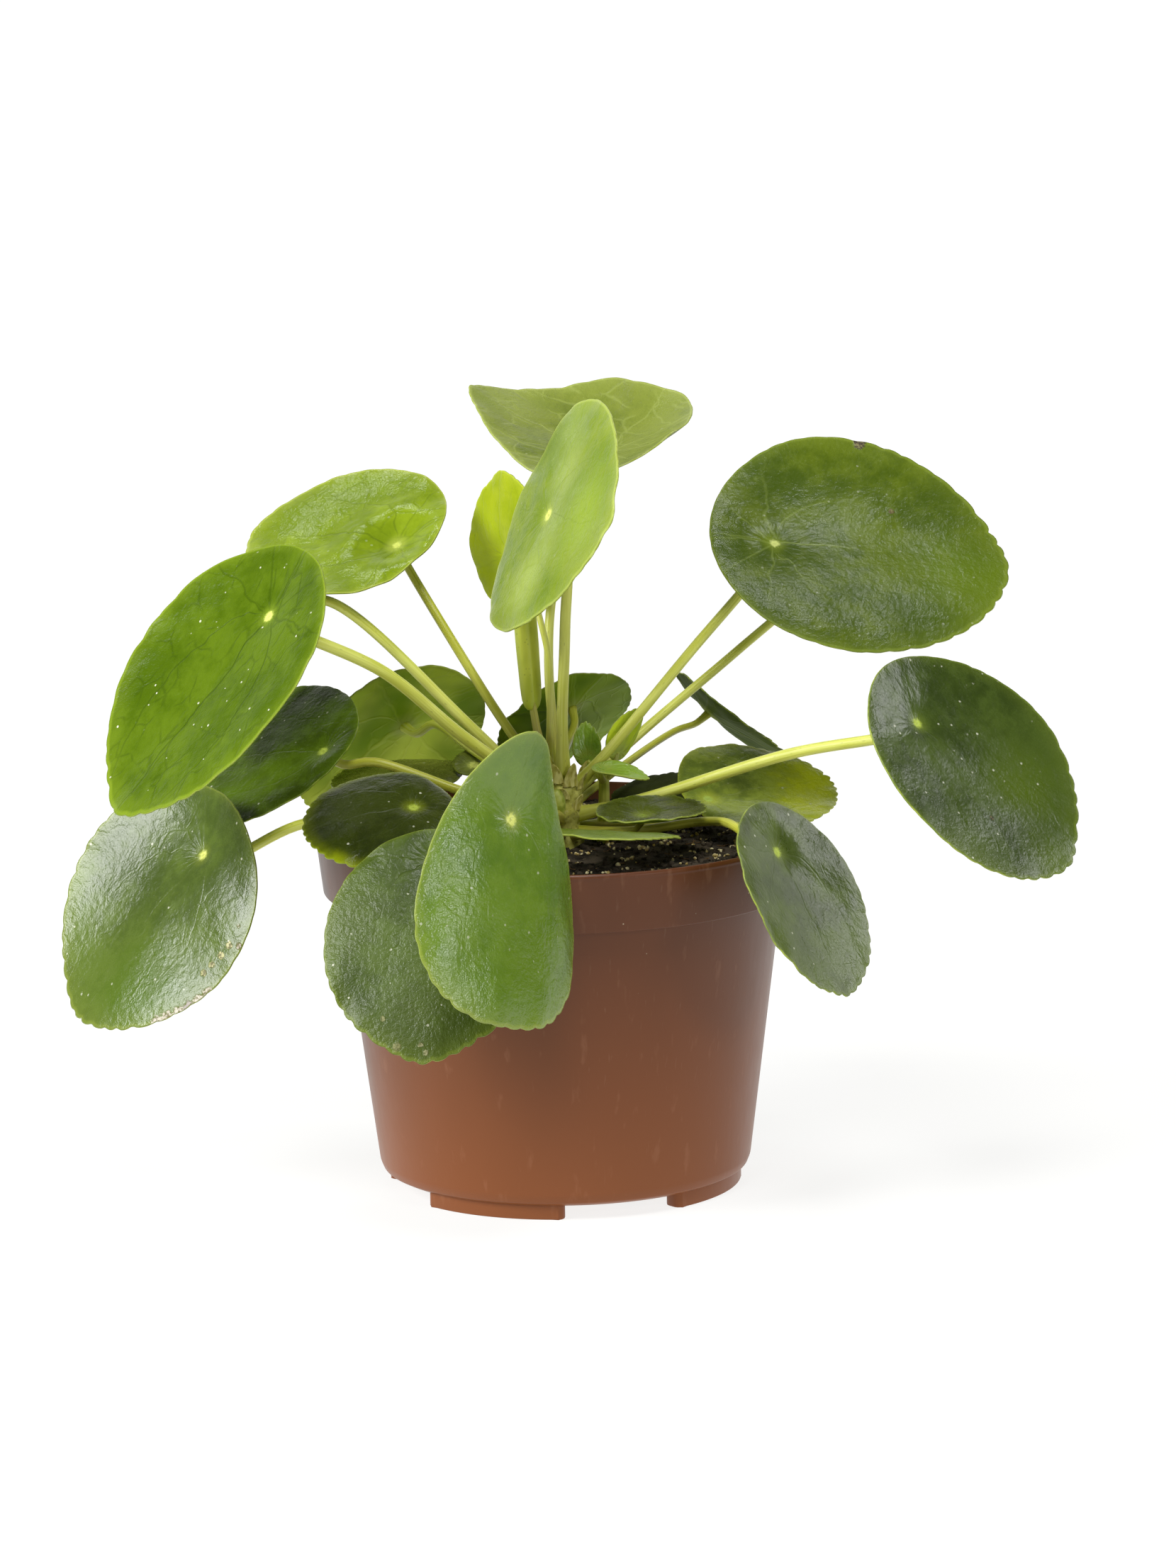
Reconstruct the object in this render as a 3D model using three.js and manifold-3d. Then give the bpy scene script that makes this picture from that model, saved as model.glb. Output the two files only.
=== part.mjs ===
// A potted Chinese money plant, in millimetres, +Z up.
// The origin is on the ground at the middle of the pot, and -Y is the front.
import * as THREE from 'three';
import { mergeVertices } from 'three/addons/utils/BufferGeometryUtils.js';
import Module from 'manifold-3d';

// ---------------------------------------------------------------- driving dimensions
const GAP = 0.3;                 // kept between pieces that touch

// pot: a thin moulded nursery pot
const POT_HEIGHT = 88.1;
const RIM_RADIUS = 60;
const BAND_HEIGHT = 14.7;        // the upright band below the rim
const BAND_FOOT_RADIUS = 58.1;
const BODY_TOP_RADIUS = 54.3;
const BODY_FOOT_RADIUS = 45.3;
const POT_WALL = 1.2;
const POT_SIDES = 44;
const FOOT_HEIGHT = 3.4;
const FOOT_OUTER_RADIUS = 43.2;
const FOOT_WIDTH = 5.2;
const FOOT_SPAN = 51;            // degrees of arc in one foot
const FOOT_COUNT = 4;
const FIRST_FOOT = -116;         // degrees, the middle of the foot at the front left
const DRAIN_RADIUS = 3;
const DRAIN_CIRCLE = 31;
const DRAIN_COUNT = 6;

// soil
const SOIL_LEVEL = 83.5;
const SOIL_RELIEF = 1.3;
const SOIL_SEED = 11;

// stem: the short woody trunk that carries every stalk
const STEM_RADIUS = 6;
const STEM_TOP = 102;
const STEM_FOOT = 76;

// leaves
const BLADE_THICKNESS = 0.9;
const NAVEL_DEPTH = 1.1;         // the dimple over the stalk
const NAVEL_REACH = 4.5;         // how far that dimple spreads
const TIP_SPREAD = 0.3;          // half the angle that the point at the tip takes, in radians
const SCALLOP_DEPTH = 0.8;
const YOUNG_SCALLOP_DEPTH = 0.35;
const STALK_SIDES = 6;
const STALK_LEAD = 2.2;          // diameters of straight stalk just below the navel
const STALK_STEP = 9;            // length of one straight run along a stalk

const PLASTIC = { color: '#8a5438', roughness: 0.42 };
const SOIL = { color: '#1e1a15', roughness: 0.95 };
const BARK = { color: '#6d6a35', roughness: 0.7 };
const STALK = { color: '#a2ab3c', roughness: 0.5 };

// Every leaf hangs by its navel, the spot where its stalk meets the blade.
//   navel    place of that spot
//   heading  compass direction of the tip in plan, 0 to the right, 90 to the back
//   pitch    rise of the tip above level, roll the bank of the blade about that line
//   young    true for a blade whose margin is still nearly smooth
//   inset    share of the length that lies behind the navel
//   egg      how much broader the blade is behind its middle than before it
//   point    length of the small point at the tip
//   fall     how far the tip, base, left and right margins fall below the navel
//   stalk    height and compass direction of its foot on the stem, bends on its way, diameter
const LEAVES = [
  { name: 'top_front', color: '#9cba3c', navel: [-2, -14, 167.5], heading: -70, pitch: 4, roll: 65,
    young: true, length: 63, width: 58, inset: 0.37, egg: 0.3, point: 2, fall: [1, 1, 1, 0],
    stalk: { foot: [101, -72], bends: [[1, -5, 116], [2, -9, 138]], size: 2.7 } },
  { name: 'top_back', color: '#8aa04c', navel: [13, 36, 176], heading: 155, pitch: 10, roll: -10,
    young: true, length: 55, width: 49, inset: 0.34, egg: 0.43, point: 2, fall: [-8, -9, 0, -7],
    stalk: { foot: [101, 85], bends: [[-2, 10, 122], [-1, 17, 142], [4, 25, 158]], size: 2.3 } },
  { name: 'top_young', color: '#9cb62a', navel: [-12, 17, 152.5], heading: 120, pitch: 75, roll: -89,
    young: true, length: 32, width: 29, inset: 0.37, egg: 0, point: 1, fall: [2, -2, -1, 1], scallops: 16,
    stalk: { foot: [101, -150], bends: [[-2, 3, 116], [-2, 6, 128], [-4, 9, 138]], size: 1.6 } },
  { name: 'left_upper', color: '#8fae35', navel: [-39, 18, 156], heading: 147, pitch: 1, roll: -34,
    young: true, length: 54, width: 49, inset: 0.22, egg: 0.08, point: 1.5, fall: [1, -1, -4, -1],
    stalk: { foot: [98, 150], bends: [[-14, 7, 114], [-24, 11, 130]], size: 2.3 } },
  { name: 'left_large', color: '#6b981c', navel: [-69, -32, 147], heading: -164, pitch: -52, roll: -12,
    young: true, length: 75, width: 67, inset: 0.24, egg: 0.05, point: 2.5, fall: [-2, -1, -1, -6],
    stalk: { foot: [96, -155], bends: [[-23, -12, 113], [-42, -21, 131]], size: 3 } },
  { name: 'left_hidden', color: '#7ba02c', navel: [-74, 13, 138], heading: 170, pitch: -62, roll: 0,
    length: 40, width: 38, inset: 0.22, egg: 0.05, point: 1, fall: [3, 2, 2, 2], scallops: 20,
    stalk: { foot: [94, 172], bends: [[-22, 5, 113], [-55, 10, 143], [-67, 12, 143]], size: 2.6 } },
  { name: 'left_dark', color: '#3f5220', navel: [-58, 7, 107], heading: 141, pitch: -9, roll: -36,
    length: 55, width: 49, inset: 0.16, egg: -0.07, point: 0.5, fall: [3, 0, 1, 0],
    stalk: { foot: [91, -176], bends: [[-24, 2, 97], [-45, 5, 104]], size: 2.4 } },
  { name: 'back_left', color: '#5b7818', navel: [-39, 52, 105], heading: -178, pitch: -35, roll: 50,
    length: 52, width: 47, inset: 0.4, egg: 0.06, point: 0.5, fall: [3, 4, 3, 2],
    stalk: { foot: [94, 130], bends: [[-20.8, 28, 102], [-31, 42, 106.5]], size: 2.4 } },
  { name: 'left_low_dark', color: '#3a4622', navel: [-35, -31, 100], heading: -170, pitch: -3, roll: -23,
    length: 39, width: 36, inset: 0.31, egg: -0.09, point: 0, fall: [5, 4, 3, 2], scallops: 20,
    stalk: { foot: [90, -142], bends: [[-18, -15, 91]], size: 2.2 } },
  { name: 'left_lower', color: '#4f7028', navel: [-87.5, -6, 84], heading: -178, pitch: -50, roll: -29,
    length: 65, width: 59, inset: 0.23, egg: 0.07, point: 1, fall: [2, -3, 6, -8],
    stalk: { foot: [87, -172], bends: [[-30, -5, 91], [-62, -5, 91]], size: 2.6 } },
  { name: 'back_low_dark', color: '#3d4038', navel: [-36, 26, 97], heading: 140, pitch: 0, roll: -8,
    length: 34, width: 32, inset: 0.32, egg: 0.05, point: 0.5, fall: [2, 2, 2, 2], scallops: 20,
    stalk: { foot: [87.5, 148], bends: [[-18, 12, 90]], size: 2 } },
  { name: 'back_low_small', color: '#3b4430', navel: [-21, 25, 99], heading: 100, pitch: 25, roll: 0,
    length: 12, width: 10, inset: 0.35, egg: 0.05, point: 0.5, fall: [1, 0, 1, 1], scallops: 10,
    stalk: { foot: [90.5, 125], bends: [[-13, 15, 92]], size: 1.2 } },
  { name: 'front_left', color: '#4f6b2e', navel: [-29.5, -58, 91.5], heading: -99, pitch: -55, roll: 1,
    length: 56, width: 52, inset: 0.15, egg: 0.03, point: 2, fall: [5, 0, 2, 3],
    stalk: { foot: [87, -120], bends: [[-12, -24, 90], [-23, -46, 95]], size: 2.4 } },
  { name: 'front_centre', color: '#5d8a22', navel: [-11, -76, 105], heading: -89, pitch: -68,
    roll: -42, length: 70, width: 48, inset: 0.28, egg: -0.32, point: -1, fall: [2, -8, 6, 6],
    stalk: { foot: [91, -95], bends: [[-3, -28, 97], [-7, -52, 103]], size: 2.7 } },
  { name: 'back_centre', color: '#415710', navel: [3, 42, 111], heading: 100, pitch: -40, roll: -14,
    length: 39, width: 36, inset: 0.28, egg: 0, point: 0.5, fall: [1, -2, -1, -1], scallops: 20,
    stalk: { foot: [95, 88], bends: [[1, 18, 102]], size: 2.1 } },
  { name: 'back_hidden', color: '#4a6626', navel: [-10, 84, 76], heading: 97, pitch: -65, roll: 0,
    length: 50, width: 46, inset: 0.25, egg: 0.05, point: 1, fall: [3, 2, 3, 3],
    stalk: { foot: [88, 106], bends: [[-9, 30, 91], [-12, 62, 92]], size: 2.3 } },
  { name: 'right_upper', color: '#486618', navel: [53.5, 4, 157], heading: 8, pitch: -8, roll: 35,
    length: 74, width: 67, inset: 0.22, egg: 0.07, point: 1, fall: [1, 0, -6, 2],
    stalk: { foot: [97, 6], bends: [[12.5, 1, 107], [32, 2, 130]], size: 2.5 } },
  { name: 'right_hidden', color: '#55781e', navel: [67, 40, 146], heading: 30, pitch: -25, roll: 0,
    length: 52, width: 48, inset: 0.3, egg: 0.05, point: 1, fall: [3, 2, 3, 3],
    stalk: { foot: [94, 62], bends: [[22, 19, 109], [44, 26, 126]], size: 2.3 } },
  { name: 'right_lower', color: '#445c20', navel: [86, -38, 119.5], heading: -4, pitch: -45, roll: 29,
    length: 64, width: 58, inset: 0.24, egg: -0.04, point: 1.5, fall: [-1, -2, -5, -2],
    stalk: { foot: [91, -24], bends: [[20, -5, 95.5], [56, -20, 109]], size: 2.8 } },
  { name: 'right_low', color: '#627c2c', navel: [36.5, 3, 94.3], heading: 28, pitch: 2, roll: 29,
    length: 41, width: 37, inset: 0.14, egg: 0.18, point: 0.5, fall: [2, 1, 0, -4.5], scallops: 22,
    stalk: { foot: [88, 10], bends: [[18, 1, 88]], size: 2 } },
  { name: 'front_right', color: '#5a7050', navel: [52, -48, 90.7], heading: -40, pitch: -60, roll: -7,
    length: 50, width: 45, inset: 0.25, egg: 0.02, point: 1, fall: [-1, -1, -2, -2],
    stalk: { foot: [87, -24], bends: [[18, -8, 88.3], [35.6, -15, 91.7], [43, -34, 93.3]], size: 2.3 } },
  { name: 'right_edge_on', color: '#43561f', navel: [38.5, 52, 107], heading: -20, pitch: -40,
    roll: -25, length: 36, width: 32, inset: 0.35, egg: 0.04, point: 0.5, fall: [-5, -1, 0, -1],
    scallops: 18, stalk: { foot: [91.5, 62], bends: [[17, 23, 99.5], [29, 41, 103.8]], size: 1.8 } },
  { name: 'centre_low', color: '#404f28', navel: [20, -21, 94.9], heading: 10, pitch: 1, roll: 9,
    length: 27, width: 24, inset: 0.42, egg: 0, point: 0, fall: [-1, -1, 0, -3], scallops: 16,
    stalk: { foot: [86, -58], bends: [[11, -13, 89]], size: 1.6 } },
  { name: 'back_right_low', color: '#1f2b10', navel: [23, 19, 91], heading: 42, pitch: 12, roll: 6,
    length: 30, width: 28, inset: 0.3, egg: 0.05, point: 0.5, fall: [2, 1, 1, 1], scallops: 18,
    stalk: { foot: [87, 62], bends: [[12, 13, 86.9]], size: 1.8 } },
  { name: 'front_low', color: '#7c9c2e', navel: [-3, -38, 94.8], heading: -3, pitch: -2, roll: -9,
    length: 36, width: 28, inset: 0.14, egg: 0, point: 1, fall: [1, 1, 1, 1], scallops: 18,
    stalk: { foot: [87, -84], bends: [[-0.5, -17, 88.5], [-3, -28, 90]], size: 1.8 } },
];

// A shoot growing beside the trunk, with three leaves a centimetre long.
const SHOOT = { color: '#6f8f20', foot: [9.5, 5.5, 79], top: [11, 4.5, 101], size: 3 };
const SHOOT_LEAVES = [
  { navel: [7, 7.5, 103], heading: 100, pitch: 78, roll: -8, length: 11, width: 7 },
  { navel: [14, 5, 105.5], heading: 15, pitch: 62, roll: -60, length: 14, width: 10 },
  { navel: [10, -3.8, 103.2], heading: -6, pitch: -8, roll: -8, length: 14, width: 8 },
];

// The youngest leaf, still rolled up from both margins.
const SCROLL = { color: '#8a9c10', foot: [-6.2, -1, 117.5], top: [-8, 0, 146], size: 6.4, size_low: 5.6,
  stalk: { foot: [101, -112], size: 1.6 } };

// ---------------------------------------------------------------- helpers
const wasm = await Module();
wasm.setup();

const radians = THREE.MathUtils.degToRad;
const vec = (p) => new THREE.Vector3(...p);

function seededRandom(seed) {
  let state = seed;
  return () => {
    state = (state * 1664525 + 1013904223) % 4294967296;
    return state / 4294967296;
  };
}

function toManifold(geometry) {
  const bare = geometry.clone();
  bare.deleteAttribute('normal');
  bare.deleteAttribute('uv');
  const merged = mergeVertices(bare, 1e-4);
  const vertProperties = Float32Array.from(merged.attributes.position.array);
  const triVerts = Uint32Array.from(merged.index.array);
  const solid = new wasm.Manifold(new wasm.Mesh({ numProp: 3, vertProperties, triVerts }));
  if (solid.volume() > 0) return solid;
  const flipped = triVerts.slice();
  for (let i = 0; i < flipped.length; i += 3) {
    [flipped[i], flipped[i + 1]] = [flipped[i + 1], flipped[i]];
  }
  return new wasm.Manifold(new wasm.Mesh({ numProp: 3, vertProperties, triVerts: flipped }));
}

function toGeometry(solid) {
  const mesh = solid.getMesh();
  const geometry = new THREE.BufferGeometry();
  geometry.setAttribute('position', new THREE.BufferAttribute(Float32Array.from(mesh.vertProperties), 3));
  geometry.setIndex(new THREE.BufferAttribute(Uint32Array.from(mesh.triVerts), 1));
  return geometry;
}

function piece(name, geometry, look) {
  const mesh = new THREE.Mesh(geometry, new THREE.MeshStandardMaterial({ metalness: 0, ...look }));
  mesh.name = name;
  return mesh;
}

function polar(radius, degrees, z = 0) {
  return [radius * Math.cos(radians(degrees)), radius * Math.sin(radians(degrees)), z];
}

// A turned solid about the Z axis from [radius, height] points.
function turned(profile, sides) {
  const geometry = new THREE.LatheGeometry(profile.map((p) => new THREE.Vector2(...p)), sides);
  return geometry.rotateX(Math.PI / 2);
}

function regularShape(radius, sides) {
  const points = [];
  for (let i = 0; i < sides; i++) {
    const turn = (2 * Math.PI * i) / sides;
    points.push(new THREE.Vector2(radius * Math.cos(turn), radius * Math.sin(turn)));
  }
  return new THREE.Shape(points);
}

function tubeAlong(points, diameter, sides = STALK_SIDES, step = STALK_STEP) {
  const path = new THREE.CatmullRomCurve3(points, false, 'centripetal');
  const steps = Math.max(3, Math.ceil(path.getLength() / step));
  const shape = regularShape(diameter / 2, sides);
  return new THREE.ExtrudeGeometry(shape, { steps, extrudePath: path, bevelEnabled: false });
}

// ---------------------------------------------------------------- pot
const FLOOR = FOOT_HEIGHT + POT_WALL + 0.2;
const BAND_FOOT = POT_HEIGHT - BAND_HEIGHT;

function potProfile() {
  return [
    [0, FOOT_HEIGHT],
    [FOOT_OUTER_RADIUS - 0.4, FOOT_HEIGHT],
    [BODY_FOOT_RADIUS - 0.5, FOOT_HEIGHT + 1],
    [BODY_FOOT_RADIUS + 0.3, FOOT_HEIGHT + 3],
    [BODY_TOP_RADIUS, BAND_FOOT],
    [BAND_FOOT_RADIUS, BAND_FOOT],
    [RIM_RADIUS - 0.3, POT_HEIGHT - 1.6],
    [RIM_RADIUS, POT_HEIGHT - 0.9],
    [RIM_RADIUS - 0.5, POT_HEIGHT],
    [RIM_RADIUS - POT_WALL, POT_HEIGHT - 0.2],
    ...innerWall().reverse(),
  ];
}

// The inside of the pot, from the middle of its floor up to the rim.
function innerWall() {
  return [
    [0, FLOOR],
    [BODY_FOOT_RADIUS - 3, FLOOR],
    [BODY_FOOT_RADIUS - POT_WALL, FLOOR + 2],
    [BODY_TOP_RADIUS - POT_WALL, BAND_FOOT - 0.6],
    [BODY_TOP_RADIUS + 0.2, BAND_FOOT + POT_WALL],
    [BAND_FOOT_RADIUS - POT_WALL, BAND_FOOT + POT_WALL],
  ];
}

function footShape() {
  const shape = new THREE.Shape();
  const half = radians(FOOT_SPAN / 2);
  const inner = FOOT_OUTER_RADIUS - FOOT_WIDTH;
  const middle = FOOT_OUTER_RADIUS - FOOT_WIDTH / 2;
  const end = (side) => [middle * Math.cos(half * side), middle * Math.sin(half * side)];
  const round = half - FOOT_WIDTH / 2 / middle;
  shape.absarc(0, 0, FOOT_OUTER_RADIUS, -round, round, false);
  shape.lineTo(...end(1));
  shape.absarc(0, 0, inner, round, -round, true);
  shape.lineTo(...end(-1));
  return shape;
}

function makePot() {
  let solid = toManifold(turned(potProfile(), POT_SIDES));
  for (let i = 0; i < FOOT_COUNT; i++) {
    const turn = radians(FIRST_FOOT + (i * 360) / FOOT_COUNT);
    const foot = new THREE.ExtrudeGeometry(footShape(), {
      depth: FOOT_HEIGHT + 0.5, bevelEnabled: false, curveSegments: 7,
    });
    solid = solid.add(toManifold(foot.rotateZ(turn)));
  }
  for (let i = 0; i < DRAIN_COUNT; i++) {
    const drain = new THREE.CylinderGeometry(DRAIN_RADIUS, DRAIN_RADIUS, 3 * FLOOR, 10).rotateX(Math.PI / 2);
    drain.translate(...polar(DRAIN_CIRCLE, (i * 360) / DRAIN_COUNT, FLOOR));
    solid = solid.subtract(toManifold(drain));
  }
  return piece('pot', toGeometry(solid), PLASTIC);
}

// ---------------------------------------------------------------- stem and soil
function stemProfile(extra = 0) {
  return [
    [0, STEM_FOOT - extra],
    [STEM_RADIUS - 1 + extra, STEM_FOOT - extra],
    [STEM_RADIUS + extra, STEM_FOOT + 9],
    [STEM_RADIUS - 0.6 + extra, STEM_FOOT + 13],
    [STEM_RADIUS + 0.2 + extra, STEM_FOOT + 16],
    [STEM_RADIUS - 0.5 + extra, STEM_FOOT + 20],
    [STEM_RADIUS - 0.2 + extra, STEM_TOP - 3],
    [STEM_RADIUS - 2.5 + extra, STEM_TOP - 0.6 + extra],
    [0, STEM_TOP + extra],
  ];
}

function makeStem() {
  return piece('stem', toGeometry(toManifold(turned(stemProfile(), 14))), BARK);
}

// The soil fills the pot. Its top is a ring-and-spoke net raised by a seeded relief.
function makeSoil() {
  const random = seededRandom(SOIL_SEED);
  const wall = innerWall().map(([r, z]) => [Math.max(0, r - GAP), z + GAP]);
  const edge = [BAND_FOOT_RADIUS - POT_WALL - GAP + 0.6, SOIL_LEVEL + 0.4];
  const top = [0.84, 0.66, 0.46, 0.26].map((share) => [edge[0] * share, SOIL_LEVEL]);
  const profile = [...wall, edge, ...top, [0, SOIL_LEVEL]];
  const geometry = turned(profile, POT_SIDES);
  const position = geometry.attributes.position;
  const ring = profile.length;
  const firstTop = wall.length + 1;
  const spokes = [];
  for (let spoke = 0; spoke < POT_SIDES; spoke++) {
    spokes.push(profile.map(() => (random() - 0.5) * 2 * SOIL_RELIEF));
  }
  for (let i = 0; i < position.count; i++) {
    const row = i % ring;
    const lifts = spokes[Math.floor(i / ring) % POT_SIDES];
    if (row >= firstTop && row < ring - 1) position.setZ(i, position.getZ(i) + lifts[row]);
  }
  const hole = toManifold(turned(stemProfile(GAP), 14));
  const [foot, ...rest] = shootPath();
  const deeper = foot.clone().setZ(foot.z - 1);
  const socket = toManifold(tubeAlong([deeper, foot, ...rest], SHOOT.size + 2 * GAP, 8));
  return piece('soil', toGeometry(toManifold(geometry).subtract(hole).subtract(socket)), SOIL);
}

// ---------------------------------------------------------------- leaf blades
// Axes of a leaf: u to its tip, v to its left, w up out of its upper face.
function leafAxes({ heading, pitch, roll }) {
  const h = radians(heading);
  const p = radians(pitch);
  const u = new THREE.Vector3(Math.cos(h) * Math.cos(p), Math.sin(h) * Math.cos(p), Math.sin(p));
  const level = new THREE.Vector3(-Math.sin(h), Math.cos(h), 0);
  const v = level.applyAxisAngle(u, radians(roll));
  const w = new THREE.Vector3().crossVectors(u, v);
  return { u, v, w };
}

function bladeOutline(leaf, turn) {
  const middle = (0.5 - leaf.inset) * leaf.length;
  const near = Math.atan2(Math.sin(turn), Math.cos(turn)) / TIP_SPREAD;
  return [
    middle + (leaf.length / 2) * Math.cos(turn) + leaf.point * Math.exp(-near * near),
    (leaf.width / 2) * Math.sin(turn) * (1 - leaf.egg * Math.cos(turn)),
  ];
}

// A leaf under 4 cm long has a shallower dimple.
function navelDepth(leaf) {
  return NAVEL_DEPTH * Math.min(1, leaf.length / 40);
}

function bladeHeight(leaf, x, y) {
  const [tip, base, left, right] = leaf.fall;
  const ahead = (1 - leaf.inset) * leaf.length + leaf.point;
  const behind = leaf.inset * leaf.length;
  const along = x > 0 ? x / ahead : x / behind;
  const across = (2 * y) / leaf.width;
  const spread = (x * x + y * y) / (NAVEL_REACH * NAVEL_REACH);
  return -(x > 0 ? tip : base) * along * along - (y > 0 ? left : right) * across * across
    - navelDepth(leaf) * Math.exp(-spread);
}

// One closed blade. Both faces share the same triangles, so a curved blade never crosses itself.
function bladeGeometry(leaf) {
  const scallops = leaf.scallops ?? 24;
  const counts = [scallops / 2, scallops, scallops * 2];
  const reaches = [0.36, 0.74, 1];
  const size = Math.min(leaf.length, leaf.width) / 2;
  const depth = leaf.young ? YOUNG_SCALLOP_DEPTH : SCALLOP_DEPTH;
  const notch = Math.min(depth, size * 0.06) / size;
  const flat = [[0, 0]];
  const starts = [];
  counts.forEach((count, ring) => {
    starts.push(flat.length);
    for (let i = 0; i < count; i++) {
      const [x, y] = bladeOutline(leaf, (2 * Math.PI * i) / count);
      const cut = ring === 2 && i % 2 === 1 ? 1 - notch : 1;
      flat.push([x * reaches[ring] * cut, y * reaches[ring] * cut]);
    }
  });
  const faces = [];
  for (let i = 0; i < counts[0]; i++) faces.push([0, starts[0] + i, starts[0] + ((i + 1) % counts[0])]);
  for (let ring = 0; ring < 2; ring++) {
    const [inner, outer] = [starts[ring], starts[ring + 1]];
    const count = counts[ring];
    for (let i = 0; i < count; i++) {
      const next = inner + ((i + 1) % count);
      const [a, b, c] = [0, 1, 2].map((k) => outer + ((2 * i + k) % (2 * count)));
      faces.push([inner + i, a, b], [inner + i, b, next], [next, b, c]);
    }
  }
  const n = flat.length;
  const half = (leaf.thickness ?? BLADE_THICKNESS) / 2;
  const points = [];
  for (const side of [half, -half]) {
    for (const [x, y] of flat) points.push(x, y, bladeHeight(leaf, x, y) + side);
  }
  const index = [];
  for (const [a, b, c] of faces) index.push(a, b, c, n + a, n + c, n + b);
  const [rim, around] = [starts[2], counts[2]];
  for (let i = 0; i < around; i++) {
    const [a, b] = [rim + i, rim + ((i + 1) % around)];
    index.push(a, n + a, b, b, n + a, n + b);
  }
  const geometry = new THREE.BufferGeometry();
  geometry.setAttribute('position', new THREE.Float32BufferAttribute(points, 3));
  geometry.setIndex(index);
  return geometry;
}

function leafMatrix(leaf) {
  const { u, v, w } = leafAxes(leaf);
  return new THREE.Matrix4().makeBasis(u, v, w).setPosition(...leaf.navel);
}

function makeBlade(leaf) {
  const mesh = piece(`leaf_${leaf.name}`, bladeGeometry(leaf), { color: leaf.color, roughness: 0.45 });
  leafMatrix(leaf).decompose(mesh.position, mesh.quaternion, mesh.scale);
  return mesh;
}

// ---------------------------------------------------------------- stalks
const stemSleeve = toManifold(turned(stemProfile(GAP), 14));

// A stalk leaves the stem, bends on its way and comes up to the navel from below the blade.
function stalkPoints(leaf) {
  const { w } = leafAxes(leaf);
  const [height, compass] = leaf.stalk.foot;
  const foot = vec(polar(STEM_RADIUS - 3, compass, height));
  const bends = leaf.stalk.bends.map(vec);
  const end = vec(leaf.navel).addScaledVector(w, -navelDepth(leaf));
  const back = bends.at(-1).clone().sub(end).normalize();
  const below = back.addScaledVector(w, -1).normalize();
  return [foot, ...bends, end.clone().addScaledVector(below, STALK_LEAD * leaf.stalk.size), end];
}

// The largest body of a solid, without the scraps that a cut leaves.
function mainBody(solid) {
  return solid.decompose().sort((a, b) => b.volume() - a.volume())[0];
}

function makeStalk(leaf) {
  const tube = toManifold(tubeAlong(stalkPoints(leaf), leaf.stalk.size));
  const sheath = bladeGeometry({ ...leaf, thickness: BLADE_THICKNESS + 2 * GAP });
  const cleared = tube.subtract(stemSleeve).subtract(toManifold(sheath.applyMatrix4(leafMatrix(leaf))));
  return piece(`stalk_${leaf.name}`, toGeometry(mainBody(cleared)), STALK);
}

// ---------------------------------------------------------------- young growth
function shootPath() {
  const [foot, top] = [vec(SHOOT.foot), vec(SHOOT.top)];
  const middle = foot.clone().lerp(top, 0.5).add(new THREE.Vector3(0.5, 0.5, 0));
  return [foot, middle, top];
}

function makeShoot() {
  const [foot, , top] = shootPath();
  let solid = toManifold(tubeAlong(shootPath(), SHOOT.size, 8));
  for (const small of SHOOT_LEAVES) {
    const leaf = { ...small, inset: 0.15, egg: 0.1, point: 0.4, fall: [1, 0, -0.8, -0.8], scallops: 10,
      thickness: 0.8 };
    const blade = bladeGeometry(leaf).applyMatrix4(leafMatrix(leaf));
    const { w } = leafAxes(leaf);
    const start = top.clone().lerp(foot, 0.12);
    const end = vec(leaf.navel).addScaledVector(w, -0.2);
    const bow = start.clone().lerp(end, 0.6).addScaledVector(w, -0.8);
    solid = solid.add(toManifold(tubeAlong([start, bow, end], 1.2, 6, 4))).add(toManifold(blade));
  }
  return piece('side_shoot', toGeometry(solid), { color: SHOOT.color, roughness: 0.45 });
}

// Two rolls side by side, drawn out along the leaf's own length.
function makeScroll() {
  const [foot, top] = [vec(SCROLL.foot), vec(SCROLL.top)];
  const lift = SCROLL.size * 0.2;
  const levels = [[0, 0.35], [0.08, 0.75], [0.35, 0.95], [0.7, 1], [0.94, 0.85], [1, 0.5]];
  const roll = (side) => {
    const profile = levels.map(([share, width]) => {
      const wide = THREE.MathUtils.lerp(SCROLL.size_low, SCROLL.size, share);
      return [(wide / 3.2) * width, share * foot.distanceTo(top)];
    });
    const ends = [[0, profile[0][1] - 0.2], ...profile, [0, profile[levels.length - 1][1] + 0.4]];
    const geometry = turned(ends, 10).translate(side * lift, 0, 0);
    const turn = new THREE.Quaternion().setFromUnitVectors(new THREE.Vector3(0, 0, 1),
      top.clone().sub(foot).normalize());
    return toManifold(geometry.applyQuaternion(turn).translate(...foot));
  };
  const [height, compass] = SCROLL.stalk.foot;
  const start = vec(polar(STEM_RADIUS - 3, compass, height));
  const bend = start.clone().lerp(foot, 0.5).add(new THREE.Vector3(-1, 0, 1));
  const end = foot.clone().lerp(top, 0.1);
  const stalk = toManifold(tubeAlong([start, bend, end], SCROLL.stalk.size)).subtract(stemSleeve);
  const solid = roll(1).add(roll(-1)).add(stalk);
  return piece('leaf_rolled', toGeometry(solid), { color: SCROLL.color, roughness: 0.5 });
}

// ---------------------------------------------------------------- the whole plant
const plant = new THREE.Group();
plant.add(makePot(), makeSoil(), makeStem());
for (const leaf of LEAVES) plant.add(makeStalk(leaf), makeBlade(leaf));
plant.add(makeScroll(), makeShoot());

export default plant;
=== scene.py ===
"""A potted Chinese money plant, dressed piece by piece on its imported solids."""

import math
import random

import bmesh
import bpy
from mathutils import Matrix, Vector, noise


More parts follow.
